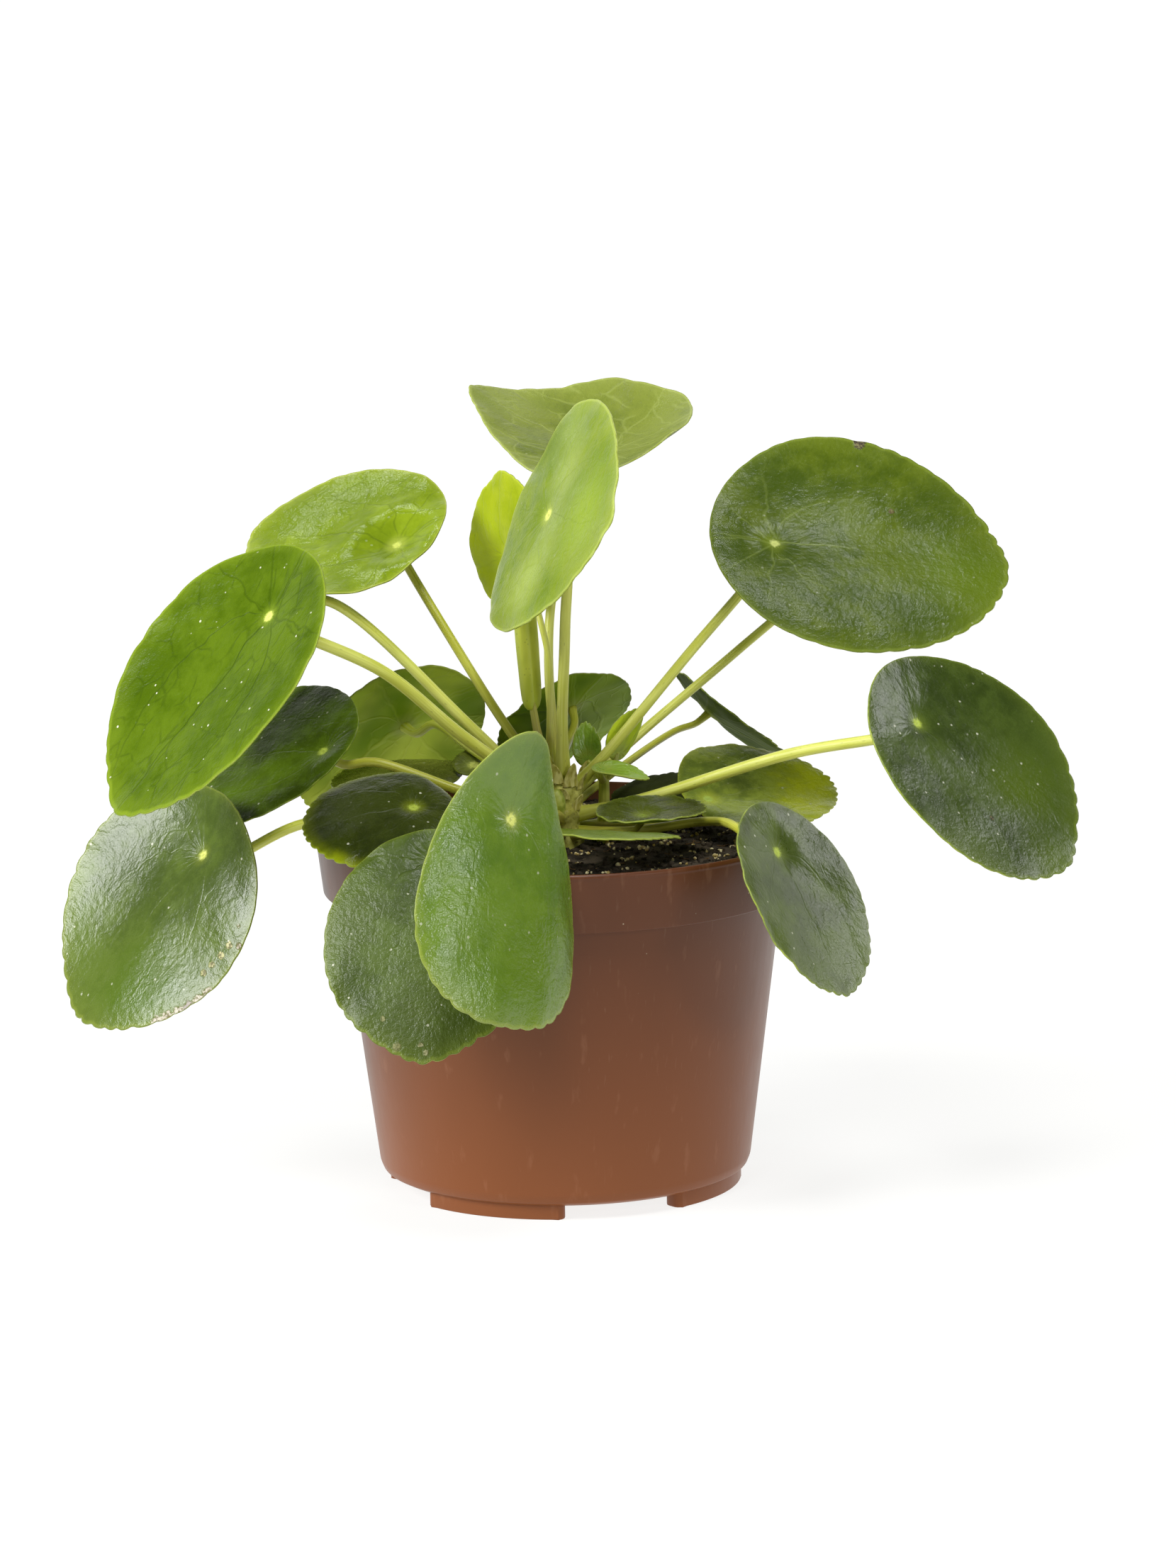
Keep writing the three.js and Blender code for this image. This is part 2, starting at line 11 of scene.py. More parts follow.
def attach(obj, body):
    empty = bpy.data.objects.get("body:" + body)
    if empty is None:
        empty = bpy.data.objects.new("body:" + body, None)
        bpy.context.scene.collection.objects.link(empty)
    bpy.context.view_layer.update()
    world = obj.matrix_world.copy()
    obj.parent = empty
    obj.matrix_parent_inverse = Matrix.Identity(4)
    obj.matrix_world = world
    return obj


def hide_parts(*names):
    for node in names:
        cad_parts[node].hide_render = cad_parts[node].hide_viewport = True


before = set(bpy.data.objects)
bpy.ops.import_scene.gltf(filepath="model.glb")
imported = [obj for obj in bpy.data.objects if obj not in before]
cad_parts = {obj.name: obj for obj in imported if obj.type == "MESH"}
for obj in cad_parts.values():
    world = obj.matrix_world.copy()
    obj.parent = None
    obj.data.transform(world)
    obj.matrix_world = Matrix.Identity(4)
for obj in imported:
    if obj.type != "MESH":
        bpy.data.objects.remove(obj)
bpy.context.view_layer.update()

MM = 0.001
RANDOM = random.Random(5)

# --- the plant's own measures, in mm
def measured(navel, aim, form, fall, foot, bends, size):
    """One leaf, which hangs by its navel, the spot where its stalk meets the blade.

    aim    heading, pitch and roll: compass direction and rise of the tip, and bank of the blade
    form   length, width, inset (the share of the length that lies behind the navel), egg, which
           makes the tip's end narrower than the base's, and point, by which the tip stands out
    fall   how far the tip, base, left and right margins fall below the navel
    foot   height and compass direction of the stalk's foot on the stem
    bends  places that the stalk passes on its way, and size, how thick it is
    """
    names = ("heading", "pitch", "roll", "length", "width", "inset", "egg", "point")
    return dict(zip(names, aim + form), navel=navel, fall=fall, foot=foot, bends=bends, size=size)


LEAVES = {
    "top_front": measured((-2, -14, 167.5), (-70, 4, 65), (63, 58, 0.37, 0.3, 2), (1, 1, 1, 0), (101, -72),
        [(1, -5, 116), (2, -9, 138)], 2.7),
    "top_back": measured((13, 36, 176), (155, 10, -10), (55, 49, 0.34, 0.43, 2), (-8, -9, 0, -7), (101, 85),
        [(-2, 10, 122), (-1, 17, 142), (4, 25, 158)], 2.3),
    "top_young": measured((-12, 17, 152.5), (120, 75, -89), (32, 29, 0.37, 0, 1), (2, -2, -1, 1),
        (101, -150), [(-2, 3, 116), (-2, 6, 128), (-4, 9, 138)], 1.6),
    "left_upper": measured((-39, 18, 156), (147, 1, -34), (54, 49, 0.22, 0.08, 1.5), (1, -1, -4, -1),
        (98, 150), [(-14, 7, 114), (-24, 11, 130)], 2.3),
    "left_large": measured((-69, -32, 147), (-164, -52, -12), (75, 67, 0.24, 0.05, 2.5), (-2, -1, -1, -6),
        (96, -155), [(-23, -12, 113), (-42, -21, 131)], 3),
    "left_hidden": measured((-74, 13, 138), (170, -62, 0), (40, 38, 0.22, 0.05, 1), (3, 2, 2, 2), (94, 172),
        [(-22, 5, 113), (-55, 10, 143), (-67, 12, 143)], 2.6),
    "left_dark": measured((-58, 7, 107), (141, -9, -36), (55, 49, 0.16, -0.07, 0.5), (3, 0, 1, 0),
        (91, -176), [(-24, 2, 97), (-45, 5, 104)], 2.4),
    "back_left": measured((-39, 52, 105), (-178, -35, 50), (52, 47, 0.4, 0.06, 0.5), (3, 4, 3, 2),
        (94, 130), [(-20.8, 28, 102), (-31, 42, 106.5)], 2.4),
    "left_low_dark": measured((-35, -31, 100), (-170, -3, -23), (39, 36, 0.31, -0.09, 0), (5, 4, 3, 2),
        (90, -142), [(-18, -15, 91)], 2.2),
    "left_lower": measured((-87.5, -6, 84), (-178, -50, -29), (65, 59, 0.23, 0.07, 1), (2, -3, 6, -8),
        (87, -172), [(-30, -5, 91), (-62, -5, 91)], 2.6),
    "back_low_dark": measured((-36, 26, 97), (140, 0, -8), (34, 32, 0.32, 0.05, 0.5), (2, 2, 2, 2),
        (87.5, 148), [(-18, 12, 90)], 2),
    "back_low_small": measured((-21, 25, 99), (100, 25, 0), (12, 10, 0.35, 0.05, 0.5), (1, 0, 1, 1),
        (90.5, 125), [(-13, 15, 92)], 1.2),
    "front_left": measured((-29.5, -58, 91.5), (-99, -55, 1), (56, 52, 0.15, 0.03, 2), (5, 0, 2, 3),
        (87, -120), [(-12, -24, 90), (-23, -46, 95)], 2.4),
    "front_centre": measured((-11, -76, 105), (-89, -68, -42), (70, 48, 0.28, -0.32, -1), (2, -8, 6, 6),
        (91, -95), [(-3, -28, 97), (-7, -52, 103)], 2.7),
    "back_centre": measured((3, 42, 111), (100, -40, -14), (39, 36, 0.28, 0, 0.5), (1, -2, -1, -1),
        (95, 88), [(1, 18, 102)], 2.1),
    "back_hidden": measured((-10, 84, 76), (97, -65, 0), (50, 46, 0.25, 0.05, 1), (3, 2, 3, 3), (88, 106),
        [(-9, 30, 91), (-12, 62, 92)], 2.3),
    "right_upper": measured((53.5, 4, 157), (8, -8, 35), (74, 67, 0.22, 0.07, 1), (1, 0, -6, 2), (97, 6),
        [(12.5, 1, 107), (32, 2, 130)], 2.5),
    "right_hidden": measured((67, 40, 146), (30, -25, 0), (52, 48, 0.3, 0.05, 1), (3, 2, 3, 3), (94, 62),
        [(22, 19, 109), (44, 26, 126)], 2.3),
    "right_lower": measured((86, -38, 119.5), (-4, -45, 29), (64, 58, 0.24, -0.04, 1.5), (-1, -2, -5, -2),
        (91, -24), [(20, -5, 95.5), (56, -20, 109)], 2.8),
    "right_low": measured((36.5, 3, 94.3), (28, 2, 29), (41, 37, 0.14, 0.18, 0.5), (2, 1, 0, -4.5),
        (88, 10), [(18, 1, 88)], 2),
    "front_right": measured((52, -48, 90.7), (-40, -60, -7), (50, 45, 0.25, 0.02, 1), (-1, -1, -2, -2),
        (87, -24), [(18, -8, 88.3), (35.6, -15, 91.7), (43, -34, 93.3)], 2.3),
    "right_edge_on": measured((38.5, 52, 107), (-20, -40, -25), (36, 32, 0.35, 0.04, 0.5), (-5, -1, 0, -1),
        (91.5, 62), [(17, 23, 99.5), (29, 41, 103.8)], 1.8),
    "centre_low": measured((20, -21, 94.9), (10, 1, 9), (27, 24, 0.42, 0, 0), (-1, -1, 0, -3), (86, -58),
        [(11, -13, 89)], 1.6),
    "back_right_low": measured((23, 19, 91), (42, 12, 6), (30, 28, 0.3, 0.05, 0.5), (2, 1, 1, 1), (87, 62),
        [(12, 13, 86.9)], 1.8),
    "front_low": measured((-3, -38, 94.8), (-3, -2, -9), (36, 28, 0.14, 0, 1), (1, 1, 1, 1), (87, -84),
        [(-0.5, -17, 88.5), (-3, -28, 90)], 1.8),
}
BLADE_THICKNESS = 0.8
NAVEL_DEPTH, NAVEL_REACH = 1.1, 4.5
TIP_SPREAD = 0.3
STEM_RADIUS, STEM_FOOT = 6, 76
STALK_LEAD, STALK_STEP = 2.2, 2.2


# --- what every object here starts from
def placed(name, data):
    made = bpy.data.objects.new(name, data)
    bpy.context.scene.collection.objects.link(made)
    return made


def mesh_of(name, bm):
    mesh = bpy.data.meshes.new(name)
    bm.to_mesh(mesh)
    bm.free()
    return mesh


# --- camera
CAMERA_PLACE = (0, -1.74723, 0.43265)
CAMERA_DOWN, CAMERA_ASIDE, CAMERA_ROLL = 10.8245, 0.2298, -0.9437
PHOTO_HEIGHT_PX, FOCAL_PX = 2212, 10279.26


def make_camera():
    down, aside, roll = (math.radians(a) for a in (CAMERA_DOWN, CAMERA_ASIDE, CAMERA_ROLL))
    ahead = Vector((math.sin(aside) * math.cos(down), math.cos(aside) * math.cos(down), -math.sin(down)))
    level = ahead.cross(Vector((0, 0, 1))).normalized()
    upright = level.cross(ahead)
    right = level * math.cos(roll) + upright * math.sin(roll)
    up = upright * math.cos(roll) - level * math.sin(roll)
    data = bpy.data.cameras.new("camera")
    data.sensor_width = 36
    data.lens = FOCAL_PX / PHOTO_HEIGHT_PX * data.sensor_width
    data.clip_end = 50
    camera = placed("camera", data)
    turn = Matrix((right, up, -ahead)).transposed().to_4x4()
    camera.matrix_world = Matrix.Translation(CAMERA_PLACE) @ turn
    bpy.context.scene.camera = camera


make_camera()


# --- finishes
class Wire:
    """A shader value that takes part in Python arithmetic."""

    def __init__(self, finish, socket):
        self.finish, self.socket = finish, socket

    def _math(self, operation, *values):
        return self.finish.node("Math", {"operation": operation}, *values)

    def __add__(self, other):
        return self._math("ADD", self, other)

    def __sub__(self, other):
        return self._math("SUBTRACT", self, other)

    def __rsub__(self, other):
        return self._math("SUBTRACT", other, self)

    def __mul__(self, other):
        return self._math("MULTIPLY", self, other)

    def __truediv__(self, other):
        return self._math("DIVIDE", self, other)

    def __pow__(self, other):
        return self._math("POWER", self, other)

    __radd__, __rmul__ = __add__, __mul__

    def size(self):
        return self._math("ABSOLUTE", self)

    def root(self):
        return self._math("SQRT", self._math("MAXIMUM", self, 0))

    def larger(self, other):
        return self._math("MAXIMUM", self, other)

    def rise(self, low, high):
        """0 below low and 1 above high, with a soft step between; high below low turns it round."""
        if low > high:
            return 1 - self.rise(high, low)
        settings = {"interpolation_type": "SMOOTHSTEP"}
        return self.finish.node("MapRange", settings, self, low, high, 0.0, 1.0)


def paint(code):
    """A colour from its sRGB hex code."""
    channels = [int(code[i : i + 2], 16) / 255 for i in (1, 3, 5)]
    linear = [c / 12.92 if c <= 0.04045 else ((c + 0.055) / 1.055) ** 2.4 for c in channels]
    return (*linear, 1.0)


class Nodes:
    """A node tree, and the nodes that patterns are made of."""

    def __init__(self, owner):
        owner.use_nodes = True
        self.tree = owner.node_tree

    def node(self, kind, settings, *values, out=0, **named):
        """A node of that kind; values feed its sockets in order, and named ones by name."""
        made = self.tree.nodes.new("ShaderNode" + kind)
        for key, value in settings.items():
            setattr(made, key, value)
        feeds = list(zip(made.inputs, values)) + [(made.inputs[k], v) for k, v in named.items()]
        for socket, value in feeds:
            self.feed(socket, value)
        return Wire(self, made.outputs[out])

    def feed(self, socket, value):
        if isinstance(value, Wire):
            self.tree.links.new(value.socket, socket)
        else:
            socket.default_value = paint(value) if isinstance(value, str) else value

    def attribute(self, name):
        return self.node("Attribute", {"attribute_name": name}, out="Vector")

    def object_place(self):
        return self.node("TexCoord", {}, out="Object")

    def parts(self, vector):
        return [Wire(self, s) for s in self.node("SeparateXYZ", {}, vector).socket.node.outputs]

    def vector(self, x, y, z):
        return self.node("CombineXYZ", {}, x, y, z)

    def stretch(self, vector, *scale):
        return self.node("VectorMath", {"operation": "MULTIPLY"}, vector, scale)

    def shifted(self, vector, *offset):
        return self.node("VectorMath", {"operation": "ADD"}, vector, offset)

    def cloud(self, vector, size, detail=2.0, rough=0.55):
        """Soft noise from 0 to 1 whose patches are about that size, in mm."""
        named = dict(Scale=1 / (size * MM), Detail=detail, Roughness=rough)
        return self.node("TexNoise", {"noise_dimensions": "3D"}, vector, **named)

    def cells(self, vector, size, feature="F1"):
        """How far each place is from the middle, or with another feature the edge, of a cell."""
        settings = {"voronoi_dimensions": "3D", "feature": feature}
        return self.node("TexVoronoi", settings, vector, out="Distance", Scale=1 / (size * MM))

    def mix(self, share, low, high):
        """The colour low where share is 0 and high where it is 1."""
        made = self.node("Mix", {"data_type": "RGBA"}).socket.node
        for index, value in ((0, share), (6, low), (7, high)):
            self.feed(made.inputs[index], value)
        return Wire(self, made.outputs[2])


class Finish(Nodes):
    """One material."""

    def __init__(self, name, roughness, specular):
        self.material = bpy.data.materials.new(name)
        super().__init__(self.material)
        self.sockets = self.tree.nodes["Principled BSDF"].inputs
        self.sockets["Roughness"].default_value = roughness
        self.sockets["Specular IOR Level"].default_value = specular
        self.sockets["Coat Roughness"].default_value = 0.3

    def wear(self, color, roughness=None, height=None, depth=0.2, strength=1.0):
        """Feeds the surface: its colour, its roughness, and a relief that is depth mm deep."""
        self.feed(self.sockets["Base Color"], color)
        if roughness is not None:
            self.feed(self.sockets["Roughness"], roughness)
        if height is not None:
            bump = self.node("Bump", {}, Strength=strength, Distance=depth * MM, Height=height)
            self.feed(self.sockets["Normal"], bump)
        return self.material


def mottled(name, roughness, specular, size, detail, low, high, tones, depth=None):
    """A finish in two tones, in patches of about that size, in mm; depth gives them a relief."""
    f = Finish(name, roughness, specular)
    tone = f.cloud(f.object_place(), size, detail)
    color = f.mix(tone.rise(low, high), *tones)
    return f.wear(color, None, tone if depth else None, depth, 0.5)


# --- mesh helpers
def new_verts(made):
    return [g for g in made["geom"] if isinstance(g, bmesh.types.BMVert)]


def end_edges(made):
    """The edges of an extrusion's far end."""
    verts = set(new_verts(made))
    edges = [g for g in made["geom"] if isinstance(g, bmesh.types.BMEdge)]
    return [e for e in edges if set(e.verts) <= verts]


def spun(points, steps, upward=False):
    """A mesh turned about Z from [radius, height] points. With upward it is a sheet facing +Z."""
    bm = bmesh.new()
    verts = [bm.verts.new((radius, 0, height)) for radius, height in points]
    edges = [bm.edges.new(pair) for pair in zip(verts, verts[1:])]
    bmesh.ops.spin(
        bm, geom=verts + edges, cent=(0, 0, 0), axis=(0, 0, 1), angle=2 * math.pi, steps=steps,
        use_merge=True,
    )
    bmesh.ops.remove_doubles(bm, verts=bm.verts, dist=1e-6)
    bmesh.ops.recalc_face_normals(bm, faces=bm.faces)
    if upward and sum(f.normal.z for f in bm.faces) < 0:
        bmesh.ops.reverse_faces(bm, faces=bm.faces)
    return bm


def smooth_path(points, step):
    """Points about step apart on a centripetal Catmull-Rom curve through the given points."""
    points = [Vector(p) for p in points]
    ends = [points[0] * 2 - points[1], *points, points[-1] * 2 - points[-2]]
    path = [points[0]]
    for corners in zip(ends, ends[1:], ends[2:], ends[3:]):
        knots = [0.0]
        for a, b in zip(corners, corners[1:]):
            knots.append(knots[-1] + max(1e-6, (b - a).length ** 0.5))
        count = max(2, math.ceil((corners[2] - corners[1]).length / step))
        for i in range(1, count + 1):
            t = knots[1] + (knots[2] - knots[1]) * i / count
            row = corners
            for span in (1, 2):
                shares = [(t - low) / (high - low) for low, high in zip(knots, knots[span:])]
                row = [p.lerp(q, share) for p, q, share in zip(row, row[1:], shares)]
            path.append(row[0].lerp(row[1], i / count))
    return path


def frames_along(path, radii):
    """A matrix for each point of a path: Z along it, X and Y scaled to the radius there."""
    frames = []
    side = None
    for i, (point, radius) in enumerate(zip(path, radii)):
        ahead = (path[min(i + 1, len(path) - 1)] - path[max(i - 1, 0)]).normalized()
        if side is None:
            side = ahead.orthogonal()
        side = (side - ahead * side.dot(ahead)).normalized()
        turn = Matrix((side, ahead.cross(side), ahead)).transposed().to_4x4()
        frames.append(Matrix.Translation(point) @ turn @ Matrix.Diagonal((radius, radius, 1, 1)))
    return frames


def swept(bm, path, radii, sides, closed=True, section=None):
    """Sweeps a circle, or the section that a function makes of it, along a path of points in mm."""
    mark = bm.verts.layers.float_vector.get("along") or bm.verts.layers.float_vector.new("along")
    frames = frames_along(path, radii)
    ring = bmesh.ops.create_circle(bm, cap_ends=closed, radius=1, segments=sides)["verts"]
    start = list(ring)
    for vert in ring:
        turn = math.atan2(vert.co.y, vert.co.x)
        if section:
            vert.co = Vector(section(turn)).to_3d()
        vert[mark] = (0, math.cos(turn), math.sin(turn))
    bmesh.ops.transform(bm, matrix=frames[0], verts=ring)
    edges = list({e for v in ring for e in v.link_edges if set(e.verts) <= set(ring)})
    travelled = 0
    for last, point, before, after in zip(path, path[1:], frames, frames[1:]):
        made = bmesh.ops.extrude_edge_only(bm, edges=edges)
        ring, edges = new_verts(made), end_edges(made)
        travelled += (point - last).length
        bmesh.ops.transform(bm, matrix=after @ before.inverted(), verts=ring)
        for vert in ring:
            vert[mark] = (travelled * MM, vert[mark].y, vert[mark].z)
    if closed:
        bmesh.ops.contextual_create(bm, geom=edges)
    return start, ring


def turned(bm, compass):
    turn = Matrix.Rotation(math.radians(compass), 3, "Z")
    bmesh.ops.rotate(bm, verts=bm.verts, cent=(0, 0, 0), matrix=turn)


def to_metres(bm):
    bmesh.ops.scale(bm, vec=(MM, MM, MM), verts=bm.verts)


def smoothed(mesh):
    for face in mesh.polygons:
        face.use_smooth = True


def piece(name, bm, materials, nodes=(), outward=True):
    """Ends a mesh, in mm, as a piece of the plant that stands for those CAD nodes."""
    if outward:
        bmesh.ops.recalc_face_normals(bm, faces=bm.faces)
    to_metres(bm)
    mesh = mesh_of(name, bm)
    for material in materials:
        mesh.materials.append(material)
    smoothed(mesh)
    made = placed(name, mesh)
    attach(made, "root")
    if nodes:
        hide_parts(*nodes)
    return made


# --- leaf blades
def leaf_axes(leaf):
    """u towards the tip, v to the left, w up out of the upper face."""
    heading, pitch, roll = (math.radians(leaf[k]) for k in ("heading", "pitch", "roll"))
    u = Vector((math.cos(heading) * math.cos(pitch), math.sin(heading) * math.cos(pitch), math.sin(pitch)))
    level = Vector((-math.sin(heading), math.cos(heading), 0))
    v = Matrix.Rotation(roll, 3, u) @ level
    return u, v, u.cross(v)


def leaf_matrix(leaf):
    turn = Matrix(leaf_axes(leaf)).transposed().to_4x4()
    return Matrix.Translation(leaf["navel"]) @ turn


def navel_depth(leaf):
    return NAVEL_DEPTH * min(1, leaf["length"] / 40)


def outline(leaf, turn):
    near = math.atan2(math.sin(turn), math.cos(turn)) / TIP_SPREAD
    middle = (0.5 - leaf["inset"]) * leaf["length"]
    x = middle + leaf["length"] / 2 * math.cos(turn) + leaf["point"] * math.exp(-near * near)
    y = leaf["width"] / 2 * math.sin(turn) * (1 - leaf["egg"] * math.cos(turn))
    return x, y


def blade_height(leaf, x, y):
    tip, base, left, right = leaf["fall"]
    ahead = (1 - leaf["inset"]) * leaf["length"] + leaf["point"]
    behind = leaf["inset"] * leaf["length"]
    along = x / ahead if x > 0 else x / behind
    across = 2 * y / leaf["width"]
    bowl = (tip if x > 0 else base) * along**2 + (left if y > 0 else right) * across**2
    spread = (x * x + y * y) / NAVEL_REACH**2
    return -bowl - navel_depth(leaf) * math.exp(-spread)


# Shares of the way from the navel to the margin.
BLADE_RINGS = (0, 0.04, 0.08, 0.13, 0.19, 0.26, 0.34, 0.42, 0.5, 0.58, 0.66, 0.74, 0.81, 0.87, 0.92,
               0.955, 0.98, 0.993, 1)
BLADE_STEPS = 200
SCALLOPS_START, THINNING_START, MARGIN_SHARE = 0.85, 0.8, 0.12
SWELL_SIZE, RING_RADIUS, RING_WIDTH = 13, 11, 5


def blade_sheet(leaf, look, seed, steps=BLADE_STEPS):
    """The middle sheet of a blade in its own axes, with scalloped margin and shallow swells."""
    bm = spun([(reach, 0) for reach in BLADE_RINGS], steps, upward=True)
    mark = bm.verts.layers.float_vector.new("blade")
    body = bm.verts.layers.deform.verify()
    half = min(leaf["length"], leaf["width"]) / 2
    drift = Vector((seed * 7.3, seed * 3.1, seed))
    for vert in bm.verts:
        reach = vert.co.xy.length
        turn = math.atan2(vert.co.y, vert.co.x) if reach > 1e-6 else 0
        round_spot = Vector((math.cos(turn), math.sin(turn), 0))
        uneven = noise.noise(round_spot * 2.5 + drift)
        bay = (1 - abs(math.cos(turn * look["scallops"] / 2 + uneven * 1.5))) ** 1.3
        deep = max(0, look["notch"] * (0.7 + 0.4 * math.cos(turn) + 0.7 * uneven))
        outer = max(0, (reach - SCALLOPS_START) / (1 - SCALLOPS_START))
        x, y = (side * reach * (1 - deep * bay / half * outer) for side in outline(leaf, turn))
        away = math.hypot(x, y)
        spot = Vector((x, y, 0)) / SWELL_SIZE + drift
        lift = look["swell"] * (noise.noise(spot) + 0.35 * noise.noise(spot * 3.1))
        lift += look["ring"] * math.exp(-(((away - RING_RADIUS) / RING_WIDTH) ** 2))
        dish = math.exp(-((away / look["navel_spread"]) ** 2)) - math.exp(-((away / NAVEL_REACH) ** 2))
        lift -= navel_depth(leaf) * dish
        for bump_x, bump_y, wide, high in look["bumps"]:
            lift += high * math.exp(-((x - bump_x) ** 2 + (y - bump_y) ** 2) / wide**2)
        margin = math.exp(-(((1 - reach) / MARGIN_SHARE) ** 2))
        lift += margin * look["wave"] * noise.noise(round_spot * 3.4 + drift)
        vert.co = (x, y, blade_height(leaf, x, y) + lift * min(1, away * away / 36))
        vert[mark] = (x * MM, y * MM, reach)
        vert[body][0] = 1 - max(0, (reach - THINNING_START) / (1 - THINNING_START)) ** 2
    return bm


def crinkles(f, x, y, away, flat, look):
    """The relief of the skin: leathery dimples, and creases that run out from the navel."""
    spokes = f.vector(x / away * 0.006, y / away * 0.006, away * 0.22)
    near = away.rise(0.02, 0.003)
    leather = f.cloud(flat, look["crinkle_size"], 3.0, 0.66) * (1 - near * 0.5)
    folds = (f.cloud(flat, 4) - 0.5).size() * 2
    return leather + f.cloud(spokes, 1.1) * near * 0.8 + folds * look["folds"]


def leaf_upper(name, leaf, look):
    """The upper face: mottled green with faint veins, a pale margin and navel, scars and dust."""
    f = Finish(name + "_upper", look["gloss"], look["shine"])
    place = f.attribute("blade")
    x, y, reach = f.parts(place)
    drift = (leaf["heading"] * 0.01, leaf["roll"] * 0.013, leaf["pitch"] * 0.01)
    flat = f.shifted(f.stretch(place, 1, 1, 0), *drift)
    away = (x * x + y * y).root() + 0.00001
    broad, fine, grain = f.cloud(flat, 24), f.cloud(flat, 4.5, 3.0, 0.65), f.cloud(flat, 0.7)

    def away_from(px, py):
        return ((x - px * MM) ** 2 + (y - py * MM) ** 2).root()

    color = f.mix((broad * 0.6 + fine * 0.4).rise(0.38, 0.62), look["dark"], look["light"])
    # Patches of colour: most are the blade's own tones, but top_front's pale arc paints a highlight and
    # top_young's patch paints light on its shaded side.
    for px, py, radius, tint, strength in look["patches"]:
        spread = away_from(px, py) + (fine - 0.5) * (radius * MM * 0.9)
        color = f.mix(spread.rise(radius * MM, 0.0) * strength, color, tint)
    veins, ribs = leaf_veins(f, leaf, look, x, y, away, flat)
    color = f.mix(veins * look["vein_strength"], color, look["vein"])
    color = f.mix(grain.rise(0.58, 0.78) * 0.16, color, look["light"])
    color = f.mix(grain.rise(0.42, 0.25) * 0.2, color, look["dark"])
    rim_share = reach.rise(0.85, 1.0) * look["edge_strength"] + reach.rise(0.972, 0.99) * 0.4
    color = f.mix(rim_share, color, look["edge"])
    color = f.mix(away.rise(0.0042, 0.0008) * 0.55, color, look["edge"])
    spot = look["navel_size"] * MM
    frayed = away + (grain - 0.5) * (spot * 0.8)
    color = f.mix(frayed.rise(spot * 1.1, spot * 0.4), color, look["navel"])
    specks = f.cells(flat, DUST_PITCH).rise(0.1, 0.06) * fine.rise(0.44, 0.5)
    color = f.mix(specks * look["dust"], color, DUST_COLOR)
    if look["dark_dots"]:
        dots = f.cells(flat, 1.5).rise(0.2, 0.1) * reach.rise(0.72, 0.9) * fine.rise(0.44, 0.55)
        color = f.mix(dots * look["dark_dots"], color, look["dark"])
    rough = look["gloss"] + (fine - 0.5) * 0.14 + (grain - 0.5) * 0.1
    height = crinkles(f, x, y, away, flat, look) - ribs * look["rib_depth"]
    for px, py, radius, tint, strength in look["scars"]:
        spread = away_from(px, py) + (grain - 0.5) * (radius * MM)
        scar = spread.rise(radius * MM, radius * MM * 0.6) * strength
        color = f.mix(scar, color, f.mix(grain.rise(0.4, 0.6), tint, SCAR_COLOR))
        rough, height = rough + scar * 0.3, height + scar * grain * 1.4
    # A painted glow: the face gives off light in its own colour, though it is no lamp.
    if look["glow"]:
        f.feed(f.sockets["Emission Color"], color)
        f.sockets["Emission Strength"].default_value = look["glow"]
    return f.wear(color, rough, height, look["relief"])


def leaf_veins(f, leaf, look, x, y, away, flat):
    """How much a vein shows at each place: a midrib, two arcs that bend to the tip, and a net."""
    ahead = (1 - leaf["inset"]) * leaf["length"] * MM
    half = leaf["width"] / 2 * MM
    warp = (f.cloud(flat, 9) - 0.5) * 0.006
    bent_x, bent_y = x + warp, y + warp * 0.8
    along = bent_x / ahead
    belly = (along * (1.06 - along) * 4).root() * half + 0.0004
    share = (bent_y / belly).size()
    front = bent_x.rise(-0.0005, 0.0015)
    width = look["vein_width"]

    def line(offset):
        return ((share - offset).size() * belly).rise(width, width * 0.1)

    turn = f.node("Math", {"operation": "ARCTAN2"}, bent_y, bent_x).size()
    rays = 0 * front
    for angle in (1.7, 2.4, 3.1):
        rays = rays.larger(((turn - angle).size() * away).rise(width, width * 0.1))
    main = (line(0.0).larger(line(0.5) * 0.8) * front).larger(rays * (1 - front) * 0.6)
    main = main * away.rise(look["vein_reach"], 0.003)
    bent = f.vector(bent_x * 0.7, bent_y, 0.0)
    net = f.cells(bent, look["net"], "DISTANCE_TO_EDGE").rise(0.06, 0.0)
    broken = f.cloud(flat, 6, 1.0).rise(0.42, 0.58)
    return main.larger(net * broken * look["net_strength"]), main.larger(net * broken * 0.5)


def leaf_under(name, leaf, look):
    """The paler, matt underside, with ribs that stand out."""
    f = Finish(name + "_under", 0.5, look["under_shine"])
    place = f.attribute("blade")
    x, y, reach = f.parts(place)
    flat = f.stretch(place, 1, 1, 0)
    broad, fine = f.cloud(flat, 22), f.cloud(flat, 3)
    color = f.mix(broad.rise(0.35, 0.65), look["under_dark"], look["under"])
    away = (x * x + y * y).root() + 0.00001
    wide = {**look, "vein_width": 0.0008, "vein_reach": 0.06, "net": 6}
    veins, ribs = leaf_veins(f, leaf, wide, x, y, away, flat)
    color = f.mix(veins * 0.25, color, look["under_vein"])
    color = f.mix(reach.rise(0.93, 1.0) * 0.3, color, look["edge"])
    color = f.mix(away.rise(0.005, 0.001) * 0.8, color, "#a9b85a")
    return f.wear(color, 0.58 + (fine - 0.5) * 0.1, ribs * 0.8 + fine * 0.3, 0.4, 0.6)


